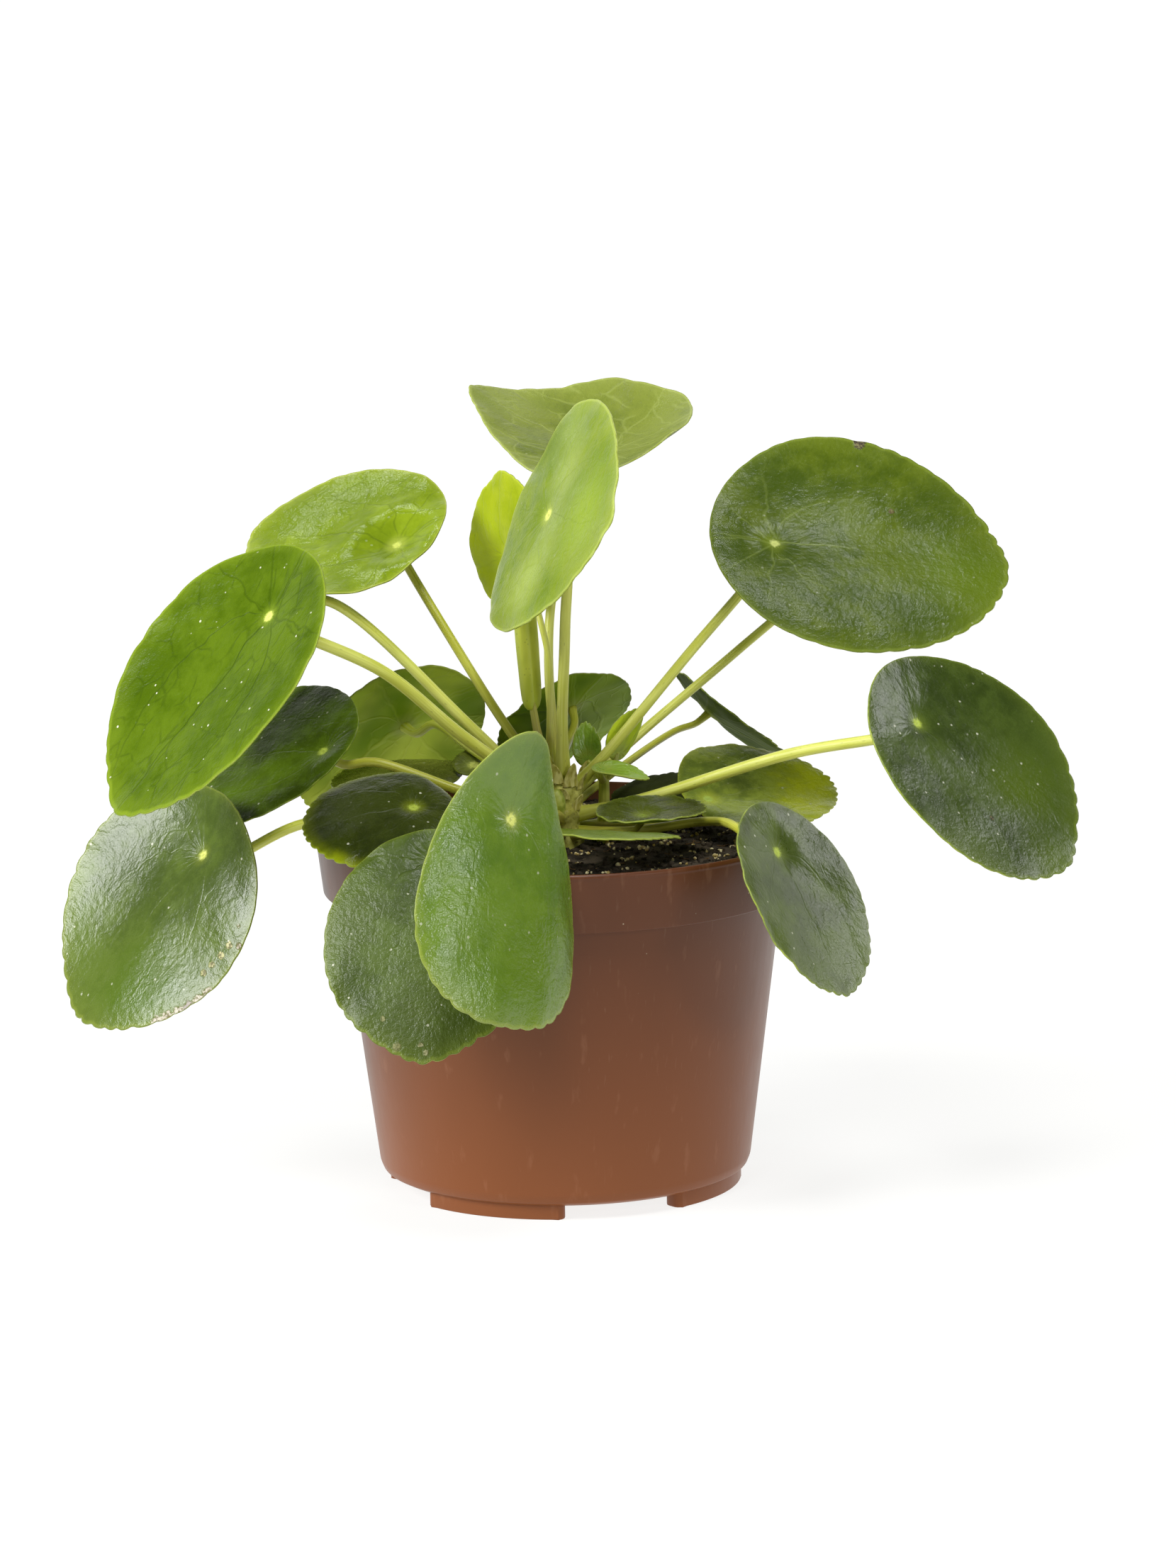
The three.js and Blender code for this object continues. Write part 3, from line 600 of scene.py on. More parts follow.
def make_blade(name, leaf, look, seed, nodes=(), steps=BLADE_STEPS, thickness=BLADE_THICKNESS):
    """A sheet with three finishes that a modifier gives its thickness, less of it at the margin."""
    bm = blade_sheet(leaf, look, seed, steps)
    bmesh.ops.transform(bm, matrix=leaf_matrix(leaf), verts=bm.verts)
    stem = name.removesuffix("_blade")
    rim = mottled(stem + "_rim", 0.45, 0.4, 3, 2.0, 0.4, 0.62, (look["edge"], RIM_COLOR))
    finishes = [leaf_upper(stem, leaf, look), rim, leaf_under(stem, leaf, look)]
    made = piece(name, bm, finishes, nodes, outward=False)
    made.vertex_groups.new(name="body")
    shell = made.modifiers.new("thickness", "SOLIDIFY")
    shell.thickness, shell.offset = thickness * MM, 0
    shell.vertex_group, shell.thickness_vertex_group = "body", 0.5
    shell.material_offset, shell.material_offset_rim = 2, 1


# --- stalks
def on_stem(height, compass):
    """The place inside the stem where a stalk starts."""
    turn, out = math.radians(compass), STEM_RADIUS - 3
    return Vector((out * math.cos(turn), out * math.sin(turn), height))


def stalk_points(leaf):
    """The foot inside the stem, the bends, and a straight lead that ends at the navel."""
    w = leaf_axes(leaf)[2]
    end = Vector(leaf["navel"]) - w * (navel_depth(leaf) + BLADE_THICKNESS * 0.4)
    below = ((Vector(leaf["bends"][-1]) - end).normalized() - w).normalized()
    return [on_stem(*leaf["foot"]), *leaf["bends"], end + below * STALK_LEAD * leaf["size"], end]


def stalk_finish(name, base, tip):
    """A smooth fleshy stalk: pale streaks along it, red-brown near its foot."""
    f = Finish(name, 0.42, 0.45)
    f.sockets["Coat Weight"].default_value = 0.1
    far, across, over = f.parts(f.attribute("along"))
    streaks = f.cloud(f.vector(far * 0.06, across * 0.0032, over * 0.0032), 1.1)
    broad = f.cloud(f.object_place(), 14)
    color = f.mix((streaks * 0.6 + broad * 0.4).rise(0.38, 0.62), base, tip)
    rust = far.rise(0.03, 0.002) * broad.rise(0.4, 0.6) * 0.45
    color = f.mix(rust, color, "#8a6a34")
    dots = f.cells(f.vector(far * 0.5, across * 0.002, over * 0.002), 1.6).rise(0.16, 0.1)
    color = f.mix(dots * 0.3, color, "#7c7a30")
    return f.wear(color, 0.42 + (broad - 0.5) * 0.1, streaks + dots * -0.3, 0.12, 0.5)


def make_stalk(name, leaf, finish):
    """A stalk that swells towards its foot and flares where it meets the blade."""
    path = smooth_path(stalk_points(leaf), STALK_STEP)
    count = len(path) - 1
    radii = []
    for i in range(count + 1):
        swollen = 0.42 * math.exp(-((i * STALK_STEP / 7) ** 2))
        flare = 0.3 * math.exp(-(((count - i) * STALK_STEP / 2.2) ** 2))
        radii.append(leaf["size"] / 2 * (1.04 - 0.1 * i / count + swollen + flare))
    bm = bmesh.new()
    swept(bm, path, radii, 14)
    piece(f"{name}_stalk", bm, [finish], [f"stalk_{name}"])


# --- young growth
SHOOT_FOOT, SHOOT_TOP, SHOOT_SIZE = (9.5, 5.5, 79), (11, 4.5, 101), 3
SHOOT_LEAF_THICKNESS = 0.7
SHOOT_LEAVES = (
    dict(navel=(7, 7.5, 103), heading=100, pitch=78, roll=-8, length=11, width=7,
         dark="#64841a", light="#7c9e22"),
    dict(navel=(14, 5, 105.5), heading=15, pitch=62, roll=-60, length=14, width=10,
         dark="#b8d014", light="#d0e430"),
    dict(navel=(10, -3.8, 103.2), heading=-6, pitch=-8, roll=14, length=14, width=8,
         dark="#68881e", light="#8aaa38"),
)


def tapered(bm, path, radius, foot, loss, sides):
    """Sweeps a stalk whose radius is foot times its own at the start, and less by loss at the end."""
    swept(bm, path, [radius * (foot - loss * i / len(path)) for i in range(len(path))], sides)


def make_shoot():
    """A shoot beside the trunk: a stem, and three leaves that part from its top."""
    green = stalk_finish("shoot_stalk", "#b0ba44", "#ccd264")
    foot, top = Vector(SHOOT_FOOT), Vector(SHOOT_TOP)
    middle = foot.lerp(top, 0.5) + Vector((0.5, 0.5, 0))
    bm = bmesh.new()
    tapered(bm, smooth_path([foot, middle, top], 1.5), SHOOT_SIZE / 2, 1.15, 0.35, 14)
    for number, small in enumerate(SHOOT_LEAVES):
        leaf = dict(small, inset=0.15, egg=0.1, point=0.4, fall=(1, 0, -0.8, -0.8))
        w = leaf_axes(leaf)[2]
        start = top.lerp(foot, 0.12)
        end = Vector(leaf["navel"]) - w * 0.3
        branch = smooth_path([start, start.lerp(end, 0.6) - w * 0.8, end], 0.8)
        tapered(bm, branch, 1, 0.95, 0.35, 10)
        dark, light = small["dark"], small["light"]
        look = skin(
            f"{dark} {light} #a9b548 #97a53c", slot="shoot", scallops=18, notch=0.15, swell=0.15, wave=0.1,
            navel="#8fae3c", under=light, under_dark=dark)
        make_blade(f"shoot_leaf_{number + 1}", leaf, look, 40 + number, (), 60, SHOOT_LEAF_THICKNESS)
    piece("shoot_stem", bm, [green], ["side_shoot"])


SCROLL_FOOT, SCROLL_TOP = Vector((-6.2, -1, 117.5)), Vector((-8, 0, 146))
SCROLL_SIZE, SCROLL_STALK, SCROLL_LEAN = 6.4, 1.6, 0.063
SCROLL_WIDTHS = ((0, 0.42), (0.03, 0.66), (0.09, 0.84), (0.2, 0.92), (0.35, 0.95), (0.55, 1), (0.75, 1),
                 (0.9, 0.93), (0.97, 0.75), (1, 0.5))


def make_scroll():
    """The youngest leaf: two rolled margins side by side, on a thin stalk."""
    f = Finish("rolled_leaf", 0.45, 0.45)
    place = f.object_place()
    x, _, z = f.parts(place)
    broad = f.cloud(f.stretch(place, 1, 1, 0.35), 5)
    color = f.mix(broad.rise(0.4, 0.6), "#a9b41a", "#bfc734")
    middle = x + (z - SCROLL_FOOT.z * MM) * SCROLL_LEAN - SCROLL_FOOT.x * MM
    color = f.mix(middle.rise(-0.0008, -0.0026) * 0.7, color, "#b9c455")
    color = f.mix(z.rise(0.1215, 0.1175) * 0.5, color, "#a6b83a")
    dots = f.cells(place, 1.8).rise(0.15, 0.08)
    color = f.mix(dots * 0.4, color, "#5d6f10")
    green = f.wear(color, 0.45, f.cloud(f.stretch(place, 1, 1, 0.2), 1.2), 0.2, 0.4)
    path = [SCROLL_FOOT.lerp(SCROLL_TOP, share) for share, _ in SCROLL_WIDTHS]
    radii = [SCROLL_SIZE / 2 * width for _, width in SCROLL_WIDTHS]

    def lobed(turn):
        """Two rolls that meet in a groove, seen from above."""
        waist = 0.34 + 0.3 * abs(math.cos(turn)) ** 0.8
        return math.cos(turn), math.sin(turn) * waist / max(0.45, abs(math.sin(turn)) ** 0.3)

    bm = bmesh.new()
    swept(bm, path, radii, 28, section=lobed)
    inner = [e for e in bm.edges if len(e.link_faces) == 2]
    bmesh.ops.subdivide_edges(bm, edges=inner, cuts=1, use_grid_fill=True, smooth=0.1)
    start = on_stem(101, -112)
    bend = start.lerp(SCROLL_FOOT, 0.5) + Vector((-1, 0, 1))
    thin = smooth_path([start, bend, SCROLL_FOOT.lerp(SCROLL_TOP, 0.06)], 1.6)
    stalk = bmesh.new()
    tapered(stalk, thin, SCROLL_STALK / 2, 1.5, 0.4, 12)
    pale = stalk_finish("rolled_leaf_stalk", "#a3a036", "#b5b84a")
    piece("rolled_leaf_stalk", stalk, [pale])
    piece("rolled_leaf", bm, [green], ["leaf_rolled"])


# --- stem
# How far each corner lies outside the stem's radius, and above its foot.
STEM_PROFILE = ((-1, 0), (0, 9), (-0.6, 13), (0.2, 16), (-0.5, 20), (-0.2, 23), (-2.5, 25.4), (-6, 26))
BUD_PLACE, BUD_SIZE = (-0.7, -7.2, 95.2), (2.2, 1.8, 3.6)


def make_stem():
    """The trunk with old leaf scars, and the papery scales left where stalks part from it."""
    f = Finish("bark", 0.75, 0.3)
    place = f.object_place()
    broad, fine = f.cloud(place, 4, 3.0), f.cloud(place, 0.9, 3.0)
    color = f.mix(broad.rise(0.35, 0.62), "#b2b04a", "#dedd78")
    color = f.mix(fine.rise(0.6, 0.75) * 0.7, color, "#c9c088")
    color = f.mix(fine.rise(0.42, 0.3) * 0.6, color, "#4a3a20")
    bark = f.wear(color, 0.75, broad + fine * 0.6, 0.6, 0.9)
    bm = spun([(0, STEM_FOOT)] + [(STEM_RADIUS + wider, STEM_FOOT + up) for wider, up in STEM_PROFILE], 40)
    bmesh.ops.subdivide_edges(bm, edges=bm.edges, cuts=2, use_grid_fill=True)
    for vert in bm.verts:
        lump = noise.noise(vert.co / 2.4) * 0.7 + noise.noise(vert.co / 0.9) * 0.25
        vert.co += Vector((vert.co.x, vert.co.y, 0)).normalized() * (lump - 0.3)
    piece("trunk", bm, [bark], ["stem"])
    bm = bmesh.new()
    bmesh.ops.create_uvsphere(bm, u_segments=20, v_segments=14, radius=1)
    bmesh.ops.scale(bm, vec=BUD_SIZE, verts=bm.verts)
    bmesh.ops.translate(bm, vec=BUD_PLACE, verts=bm.verts)
    green = mottled("bud", 0.4, 0.4, 2, 1.0, 0.4, 0.6, ("#8c9a2e", "#b3bd52"))
    piece("crown_bud", bm, [green])
    make_scales()


SCALE_WIDTH, SCALE_THICKNESS = 2.0, 0.28
# Compass direction, height and length of each scale.
SCALE_PLACES = ((-100, 100, 5), (-60, 99, 6), (-140, 98, 5), (-20, 98, 4), (20, 99, 5), (60, 98, 4),
                (100, 99, 5), (150, 98, 5), (-165, 95, 4), (-85, 96, 3), (-40, 93, 4), (-120, 91, 4))


def make_scales():
    """Thin papery stipules: each starts as a disc that is drawn out to a pointed, cupped scale."""
    f = Finish("papery_scale", 0.7, 0.3)
    place = f.object_place()
    fibres = f.cloud(f.stretch(place, 1, 1, 0.15), 0.8)
    color = f.mix(fibres.rise(0.35, 0.65), "#b0a848", "#dcd684")
    color = f.mix(f.cloud(place, 4).rise(0.55, 0.7) * 0.5, color, "#7a5a30")
    paper = f.wear(color, 0.7, fibres, 0.15, 0.6)
    for number, (compass, height, length) in enumerate(SCALE_PLACES):
        bm = bmesh.new()
        bmesh.ops.create_grid(bm, x_segments=8, y_segments=12, size=1)
        for vert in bm.verts:
            along = (vert.co.y + 1) / 2
            side = vert.co.x * (SCALE_WIDTH * (1 - along**1.6) ** 0.7 + 0.1)
            ripple = 0.25 * noise.noise(Vector((side, along * 3, number * 5.0)))
            out = STEM_RADIUS - 0.1 + 1.4 * along**2 - 0.12 * side * side + ripple
            vert.co = (out, side, height + along * length)
        bmesh.ops.solidify(bm, geom=bm.faces, thickness=SCALE_THICKNESS)
        turned(bm, compass)
        piece(f"scale_{number + 1}", bm, [paper])


# --- pot
POT_HEIGHT, RIM_RADIUS, BAND_HEIGHT, BAND_FOOT_RADIUS = 88.1, 60, 14.7, 58.1
BODY_TOP_RADIUS, BODY_FOOT_RADIUS, POT_WALL = 54.3, 45.3, 1.2
FOOT_HEIGHT, FOOT_OUTER_RADIUS, FOOT_WIDTH, FOOT_SPAN = 3.4, 43.2, 5.2, 51
FOOT_COMPASS = (-116, -26, 64, 154)
DRAIN_RADIUS, DRAIN_CIRCLE, DRAIN_COUNT = 3, 31, 6
BAND_FOOT = POT_HEIGHT - BAND_HEIGHT
FLOOR = FOOT_HEIGHT + POT_WALL + 0.2


def plastic_finish():
    """Satin moulded plastic with fine scuffs, a soft mottle, crumbs near the rim, and painted light and
    shade.
    """
    f = Finish("pot_plastic", 0.42, 0.27)
    place = f.object_place()
    z = f.parts(place)[2]
    broad = f.cloud(f.stretch(place, 1, 1, 0.4), 40)
    fine = f.cloud(f.stretch(place, 1, 1, 0.3), 3, 3.0)
    grain = f.cloud(place, 0.5)
    color = f.mix(broad.rise(0.35, 0.65), POT_DARK, POT_LIGHT)
    # Painted light and shade: lighter towards the foot, as if lit from the floor, and darker up under the
    # leaves, as if in their shade.
    color = f.mix(z.rise(-0.02, 0.085), POT_PAINTED_LIT_FOOT, color)
    color = f.mix(fine.rise(0.6, 0.75) * 0.1, color, "#b9886a")
    scratch = f.cloud(f.stretch(place, 1, 1, 0.04), 0.9).rise(0.66, 0.74) * broad.rise(0.5, 0.6)
    color = f.mix(scratch * 0.05, color, "#c9a48c")
    crumbs = f.cells(place, 4.2).rise(0.06, 0.03) * fine.rise(0.5, 0.55) * z.rise(0.05, 0.085)
    color = f.mix(crumbs * 0.8, color, "#c9b89a")
    return f.wear(color, 0.36 + (fine - 0.5) * 0.12 + scratch * 0.1, fine * 0.4 + grain * 0.3, 0.08, 0.5)


def rounded(corners, radius=0.35):
    """The corners of a profile, each cut by three short steps."""
    made = [corners[0]]
    for before, corner, after in zip(corners, corners[1:], corners[2:]):
        before, corner, after = (Vector(p) for p in (before, corner, after))
        reach = min(radius, (before - corner).length / 3, (after - corner).length / 3)
        start = corner + (before - corner).normalized() * reach
        end = corner + (after - corner).normalized() * reach
        made += [start, start.lerp(end, 0.5).lerp(corner, 0.3), end]
    return [tuple(p) for p in (*made, corners[-1])]


def make_pot():
    """The shell, spun from its section, with drain holes bored through its floor."""
    plastic = plastic_finish()
    corners = [
        (0, FOOT_HEIGHT), (FOOT_OUTER_RADIUS - 0.4, FOOT_HEIGHT), (BODY_FOOT_RADIUS - 0.5, FOOT_HEIGHT + 1),
        (BODY_FOOT_RADIUS + 0.3, FOOT_HEIGHT + 3), (BODY_TOP_RADIUS, BAND_FOOT),
        (BAND_FOOT_RADIUS, BAND_FOOT), (RIM_RADIUS - 0.3, POT_HEIGHT - 1.6), (RIM_RADIUS, POT_HEIGHT - 0.9),
        (RIM_RADIUS - 0.5, POT_HEIGHT), (RIM_RADIUS - POT_WALL, POT_HEIGHT - 0.2),
        (BAND_FOOT_RADIUS - POT_WALL, BAND_FOOT + POT_WALL), (BODY_TOP_RADIUS + 0.2, BAND_FOOT + POT_WALL),
        (BODY_TOP_RADIUS - POT_WALL, BAND_FOOT - 0.6), (BODY_FOOT_RADIUS - POT_WALL, FLOOR + 2),
        (BODY_FOOT_RADIUS - 3, FLOOR), (0, FLOOR),
    ]
    made = piece("pot_shell", spun(rounded(corners), 144), [plastic], ["pot"])
    cut = bmesh.new()
    for number in range(DRAIN_COUNT):
        turn = 2 * math.pi * number / DRAIN_COUNT
        at = Matrix.Translation((DRAIN_CIRCLE * math.cos(turn), DRAIN_CIRCLE * math.sin(turn), FLOOR))
        bmesh.ops.create_cone(
            cut, cap_ends=True, segments=24, radius1=DRAIN_RADIUS, radius2=DRAIN_RADIUS, depth=FLOOR * 2,
            matrix=at)
    to_metres(cut)
    cutter = placed("drain_cutters", mesh_of("drain_cutters", cut))
    drill = made.modifiers.new("drains", "BOOLEAN")
    drill.operation, drill.object, drill.solver = "DIFFERENCE", cutter, "EXACT"
    drilled = bpy.data.meshes.new_from_object(made.evaluated_get(bpy.context.evaluated_depsgraph_get()))
    made.modifiers.clear()
    made.data = drilled
    bpy.data.objects.remove(cutter)
    smoothed(drilled)
    make_feet(plastic)


def sharp_edges(bm, angle):
    return [e for e in bm.edges if e.calc_face_angle(0) > angle]


def make_feet(plastic):
    """Four feet, each a strip turned through part of a circle with its ends rounded by bevels."""
    for number, compass in enumerate(FOOT_COMPASS):
        bm = bmesh.new()
        inner = FOOT_OUTER_RADIUS - FOOT_WIDTH
        top = FOOT_HEIGHT + 0.3
        corners = ((inner, 0), (FOOT_OUTER_RADIUS, 0), (FOOT_OUTER_RADIUS, top), (inner, top))
        face = bm.faces.new([bm.verts.new((r, 0, z)) for r, z in corners])
        span = math.radians(FOOT_SPAN)
        bmesh.ops.spin(bm, geom=[face], cent=(0, 0, 0), axis=(0, 0, 1), angle=span, steps=24)
        bmesh.ops.remove_doubles(bm, verts=bm.verts, dist=1e-5)
        ends = [e for e in sharp_edges(bm, 1.2) if abs((e.verts[0].co - e.verts[1].co).z) > 2]
        bmesh.ops.bevel(bm, geom=ends, offset=1.9, segments=5, profile=0.5, affect="EDGES", material=-1)
        low = [e for e in sharp_edges(bm, 1.0) if max(v.co.z for v in e.verts) < 0.01]
        bmesh.ops.bevel(bm, geom=low, offset=0.35, segments=2, profile=0.5, affect="EDGES", material=-1)
        turned(bm, compass - FOOT_SPAN / 2)
        made = piece(f"pot_foot_{number + 1}", bm, [plastic])
        made.data.set_sharp_from_angle(angle=math.radians(50))


# --- soil
SOIL_LEVEL, SOIL_EDGE = 83.5, 57.2
CRUMB_COUNT, GRAIN_COUNT, FIBRE_COUNT = 1500, 900, 130


def soil_height(x, y):
    spot = Vector((x, y, 0))
    away = math.hypot(x, y) / SOIL_EDGE
    lumps = noise.noise(spot / 9) * 1.1 + noise.noise(spot / 3.1 + Vector((4, 4, 4))) * 0.6
    return SOIL_LEVEL + 0.5 * away**4 + lumps


def soil_spot(outer=SOIL_EDGE - 1.2, inner=8):
    """A place on the soil, clear of the stem."""
    reach = math.sqrt(RANDOM.uniform((inner / outer) ** 2, 1)) * outer
    turn = RANDOM.uniform(0, 2 * math.pi)
    return reach * math.cos(turn), reach * math.sin(turn)


def make_soil():
    f = Finish("soil", 0.95, 0.2)
    place = f.object_place()
    broad, fine = f.cloud(place, 5, 3.0), f.cloud(place, 0.9, 3.0, 0.7)
    color = f.mix(broad.rise(0.35, 0.65), "#28231b", "#50473a")
    color = f.mix(fine.rise(0.6, 0.72) * 0.6, color, "#86785a")
    dirt = f.wear(color, 0.95, broad + fine, 0.8, 1.0)
    rings = [0, 3, 5.9] + [6.4 + (SOIL_EDGE - 6.4) * i / 34 for i in range(35)]
    bm = spun([(r, 0) for r in rings], 120, upward=True)
    for vert in bm.verts:
        vert.co.z = soil_height(vert.co.x, vert.co.y)
    rim = [e for e in bm.edges if e.is_boundary]
    made = bmesh.ops.extrude_edge_only(bm, edges=rim)
    bmesh.ops.scale(bm, verts=new_verts(made), vec=(0.9, 0.9, 1))
    bmesh.ops.translate(bm, verts=new_verts(made), vec=(0, 0, -9))
    bmesh.ops.contextual_create(bm, geom=end_edges(made))
    piece("soil_bed", bm, [dirt], ["soil"])
    make_crumbs(dirt)


def scattered(name, material, count, low, high, flat, lift, huddle=-1.0):
    """Crumbs or grains, pressed into the soil. The higher huddle is, the more they lie in clumps."""
    bm = bmesh.new()
    for _ in range(count):
        x, y = soil_spot()
        while noise.noise(Vector((x, y, 50)) / 4.5) < huddle:
            x, y = soil_spot()
        size = RANDOM.uniform(low, high) * RANDOM.uniform(0.6, 1.0)
        spin = Matrix.Rotation(RANDOM.uniform(0, 6.28), 4, Vector((RANDOM.random(), RANDOM.random(), 1)))
        form = Matrix.Diagonal((size, size * RANDOM.uniform(0.5, 1), size * flat, 1))
        at = Matrix.Translation((x, y, soil_height(x, y) + size * lift))
        made = bmesh.ops.create_icosphere(bm, subdivisions=1, radius=1, matrix=at @ spin @ form)
        for vert in made["verts"]:
            vert.co += Vector([RANDOM.uniform(-0.16, 0.16) * size for _ in range(3)])
    piece(name, bm, [material])


def make_crumbs(dirt):
    scattered("soil_crumbs", dirt, CRUMB_COUNT, 0.45, 1.25, 0.7, 0.1)
    sand = mottled("sand", 0.8, 0.3, 1.6, 1.0, 0.35, 0.6, ("#b89f5c", "#f2e6b4"), 0.2)
    scattered("soil_sand", sand, GRAIN_COUNT, 0.35, 0.72, 0.8, 0.45, 0.2)
    fibre = mottled("root_fibre", 0.85, 0.2, 2.5, 1.0, 0.4, 0.6, ("#2e2318", "#6d5434"), 0.1)
    bm = bmesh.new()
    for _ in range(FIBRE_COUNT):
        x, y = soil_spot(SOIL_EDGE - 4, 10)
        turn = RANDOM.uniform(0, 6.28)
        points = []
        for _ in range(4):
            points.append((x, y, soil_height(x, y) + RANDOM.uniform(0.1, 0.6)))
            turn += RANDOM.uniform(-0.6, 0.6)
            stride = RANDOM.uniform(0.8, 2.2)
            x, y = x + stride * math.cos(turn), y + stride * math.sin(turn)
            if math.hypot(x, y) > SOIL_EDGE - 1.5:
                break
        if len(points) > 2:
            path = smooth_path(points, 0.9)
            swept(bm, path, [RANDOM.uniform(0.1, 0.17)] * len(path), 5)
    piece("soil_fibres", bm, [fibre])


# --- room
def make_stage():
    bm = bmesh.new()
    bmesh.ops.create_grid(bm, x_segments=1, y_segments=1, size=FLOOR_HALF)
    floor = placed("floor", mesh_of("floor", bm))
    f = Finish("pale_floor", 0.9, 0.1)
    x, y, _ = f.parts(f.object_place())
    far = (x * x + y * y).root().rise(0.15, 1.6)
    f.feed(f.sockets["Emission Color"], f.mix(far, "#efefee", "#ffffff"))
    f.sockets["Emission Strength"].default_value = FLOOR_GLOW
    floor.data.materials.append(f.wear("#7a7a79"))
    make_sky()
    for name, compass, rise, size, power in SOFTBOXES:
        data = bpy.data.lights.new(name, "AREA")
        data.shape, data.size, data.energy = "DISK", size, power
        hang_lamp(data, compass, rise)
    bpy.context.scene.view_settings.view_transform = "Standard"


def make_sky():
    """Dim all round, and as bright as a white wall low down behind the plant."""
    world = bpy.data.worlds.new("studio")
    bpy.context.scene.world = world
    f = Nodes(world)
    y = f.parts(f.node("TexCoord", {}, out="Generated"))[1]
    wall = f.node("MapRange", {"interpolation_type": "SMOOTHSTEP"}, y, 0.45, 0.95, SKY_DIM, SKY_WALL)
    background = world.node_tree.nodes["Background"].inputs
    f.feed(background["Strength"], wall)
    f.feed(background["Color"], (1, 0.99, 0.97, 1))


def hang_lamp(data, compass, rise):
    """Hangs a lamp that faces the plant. Compass 0 is the camera's side, and 90 the plant's right."""
    turn, up = math.radians(compass), math.radians(rise)
    out = Vector((math.sin(turn) * math.cos(up), -math.cos(turn) * math.cos(up), math.sin(up)))
    lamp = placed(data.name, data)
    lamp.location = Vector((0, 0, LAMP_TARGET)) + out * LAMP_DISTANCE
    lamp.rotation_mode = "QUATERNION"
    lamp.rotation_quaternion = (-out).to_track_quat("-Z", "Y")


LAMP_DISTANCE, LAMP_TARGET = 1.2, 0.11
SKY_DIM, SKY_WALL = 0.13, 1.0
FLOOR_HALF, FLOOR_GLOW = 15, 0.97
# Compass direction, rise in degrees, width in metres and power in watts of each lamp.
SOFTBOXES = (
    ("top_softbox", 4, 60, 0.5, 8.4),
    ("crown_softbox", 108, 71, 0.16, 1.2),
    ("left_softbox", -66, 27, 0.6, 15.0),
    ("right_softbox", 113, 20, 0.36, 1.6),
    ("front_softbox", 42, 18, 0.2, 2.2),
    ("back_softbox", -130, 57, 0.16, 0.75),
)

# --- colours and looks of each leaf
NAVEL_COLOR = "#e3ea78"
DUST_COLOR = "#d4d4c0"
RIM_COLOR = "#94a238"
SCAR_COLOR, DUST_PITCH = "#77714a", 4
# The pot's two mottle tones are dark for painted shade under the leaves; the third tone is painted light
# near its foot.
POT_DARK, POT_LIGHT, POT_PAINTED_LIT_FOOT = "#4f2c14", "#5c3319", "#8a4f28"

# What every blade has unless its look says otherwise. Heights, sizes and spreads are in mm, but
# vein_width and vein_reach in metres. The rest are shares, or counts round the margin.
#   patches, scars   x, y, radius, colour and strength of each
#   bumps            x, y, spread and height of each
PLAIN = dict(
    slot="leaf_mature", scallops=38, notch=0.55, swell=0.6, wave=0.6, ring=0, bumps=(),
    navel_spread=NAVEL_REACH, gloss=0.3, shine=0.4, relief=0.3, crinkle_size=2, folds=0.25, rib_depth=0.25,
    vein_strength=0.2, vein_width=0.0005, vein_reach=0.05, net=7, net_strength=0.55, edge_strength=0.2,
    navel=NAVEL_COLOR, navel_size=1.9, dust=0.4, dark_dots=0, patches=(), scars=(), glow=0,
    under="#74802c", under_dark="#5a6a1c", under_vein="#8f9a48", under_shine=0.3,
)
YOUNG = dict(slot="leaf_young", notch=0.15, scallops=32, shine=0.22, relief=0.2, dust=0.15)
OLD = dict(slot="leaf_old", dust=0.7, gloss=0.27, notch=0.42, relief=0.26, navel="#bccf50", navel_size=1.7)


def skin(tones, age=None, **more):
    """How one blade looks: what all have, what its age brings, then what is its own."""
    return {**PLAIN, **(age or {}), **more, **dict(zip(("dark", "light", "edge", "vein"), tones.split()))}


# Spots along top_front's middle where pale patches paint a highlight: a strip of sheen along its valley.
PAINTED_SHEEN_ARC = ((-4.8, 22.3), (2.3, 14), (3.4, 4.4), (5.7, -5.9), (5.5, -15), (3.6, -20.8))
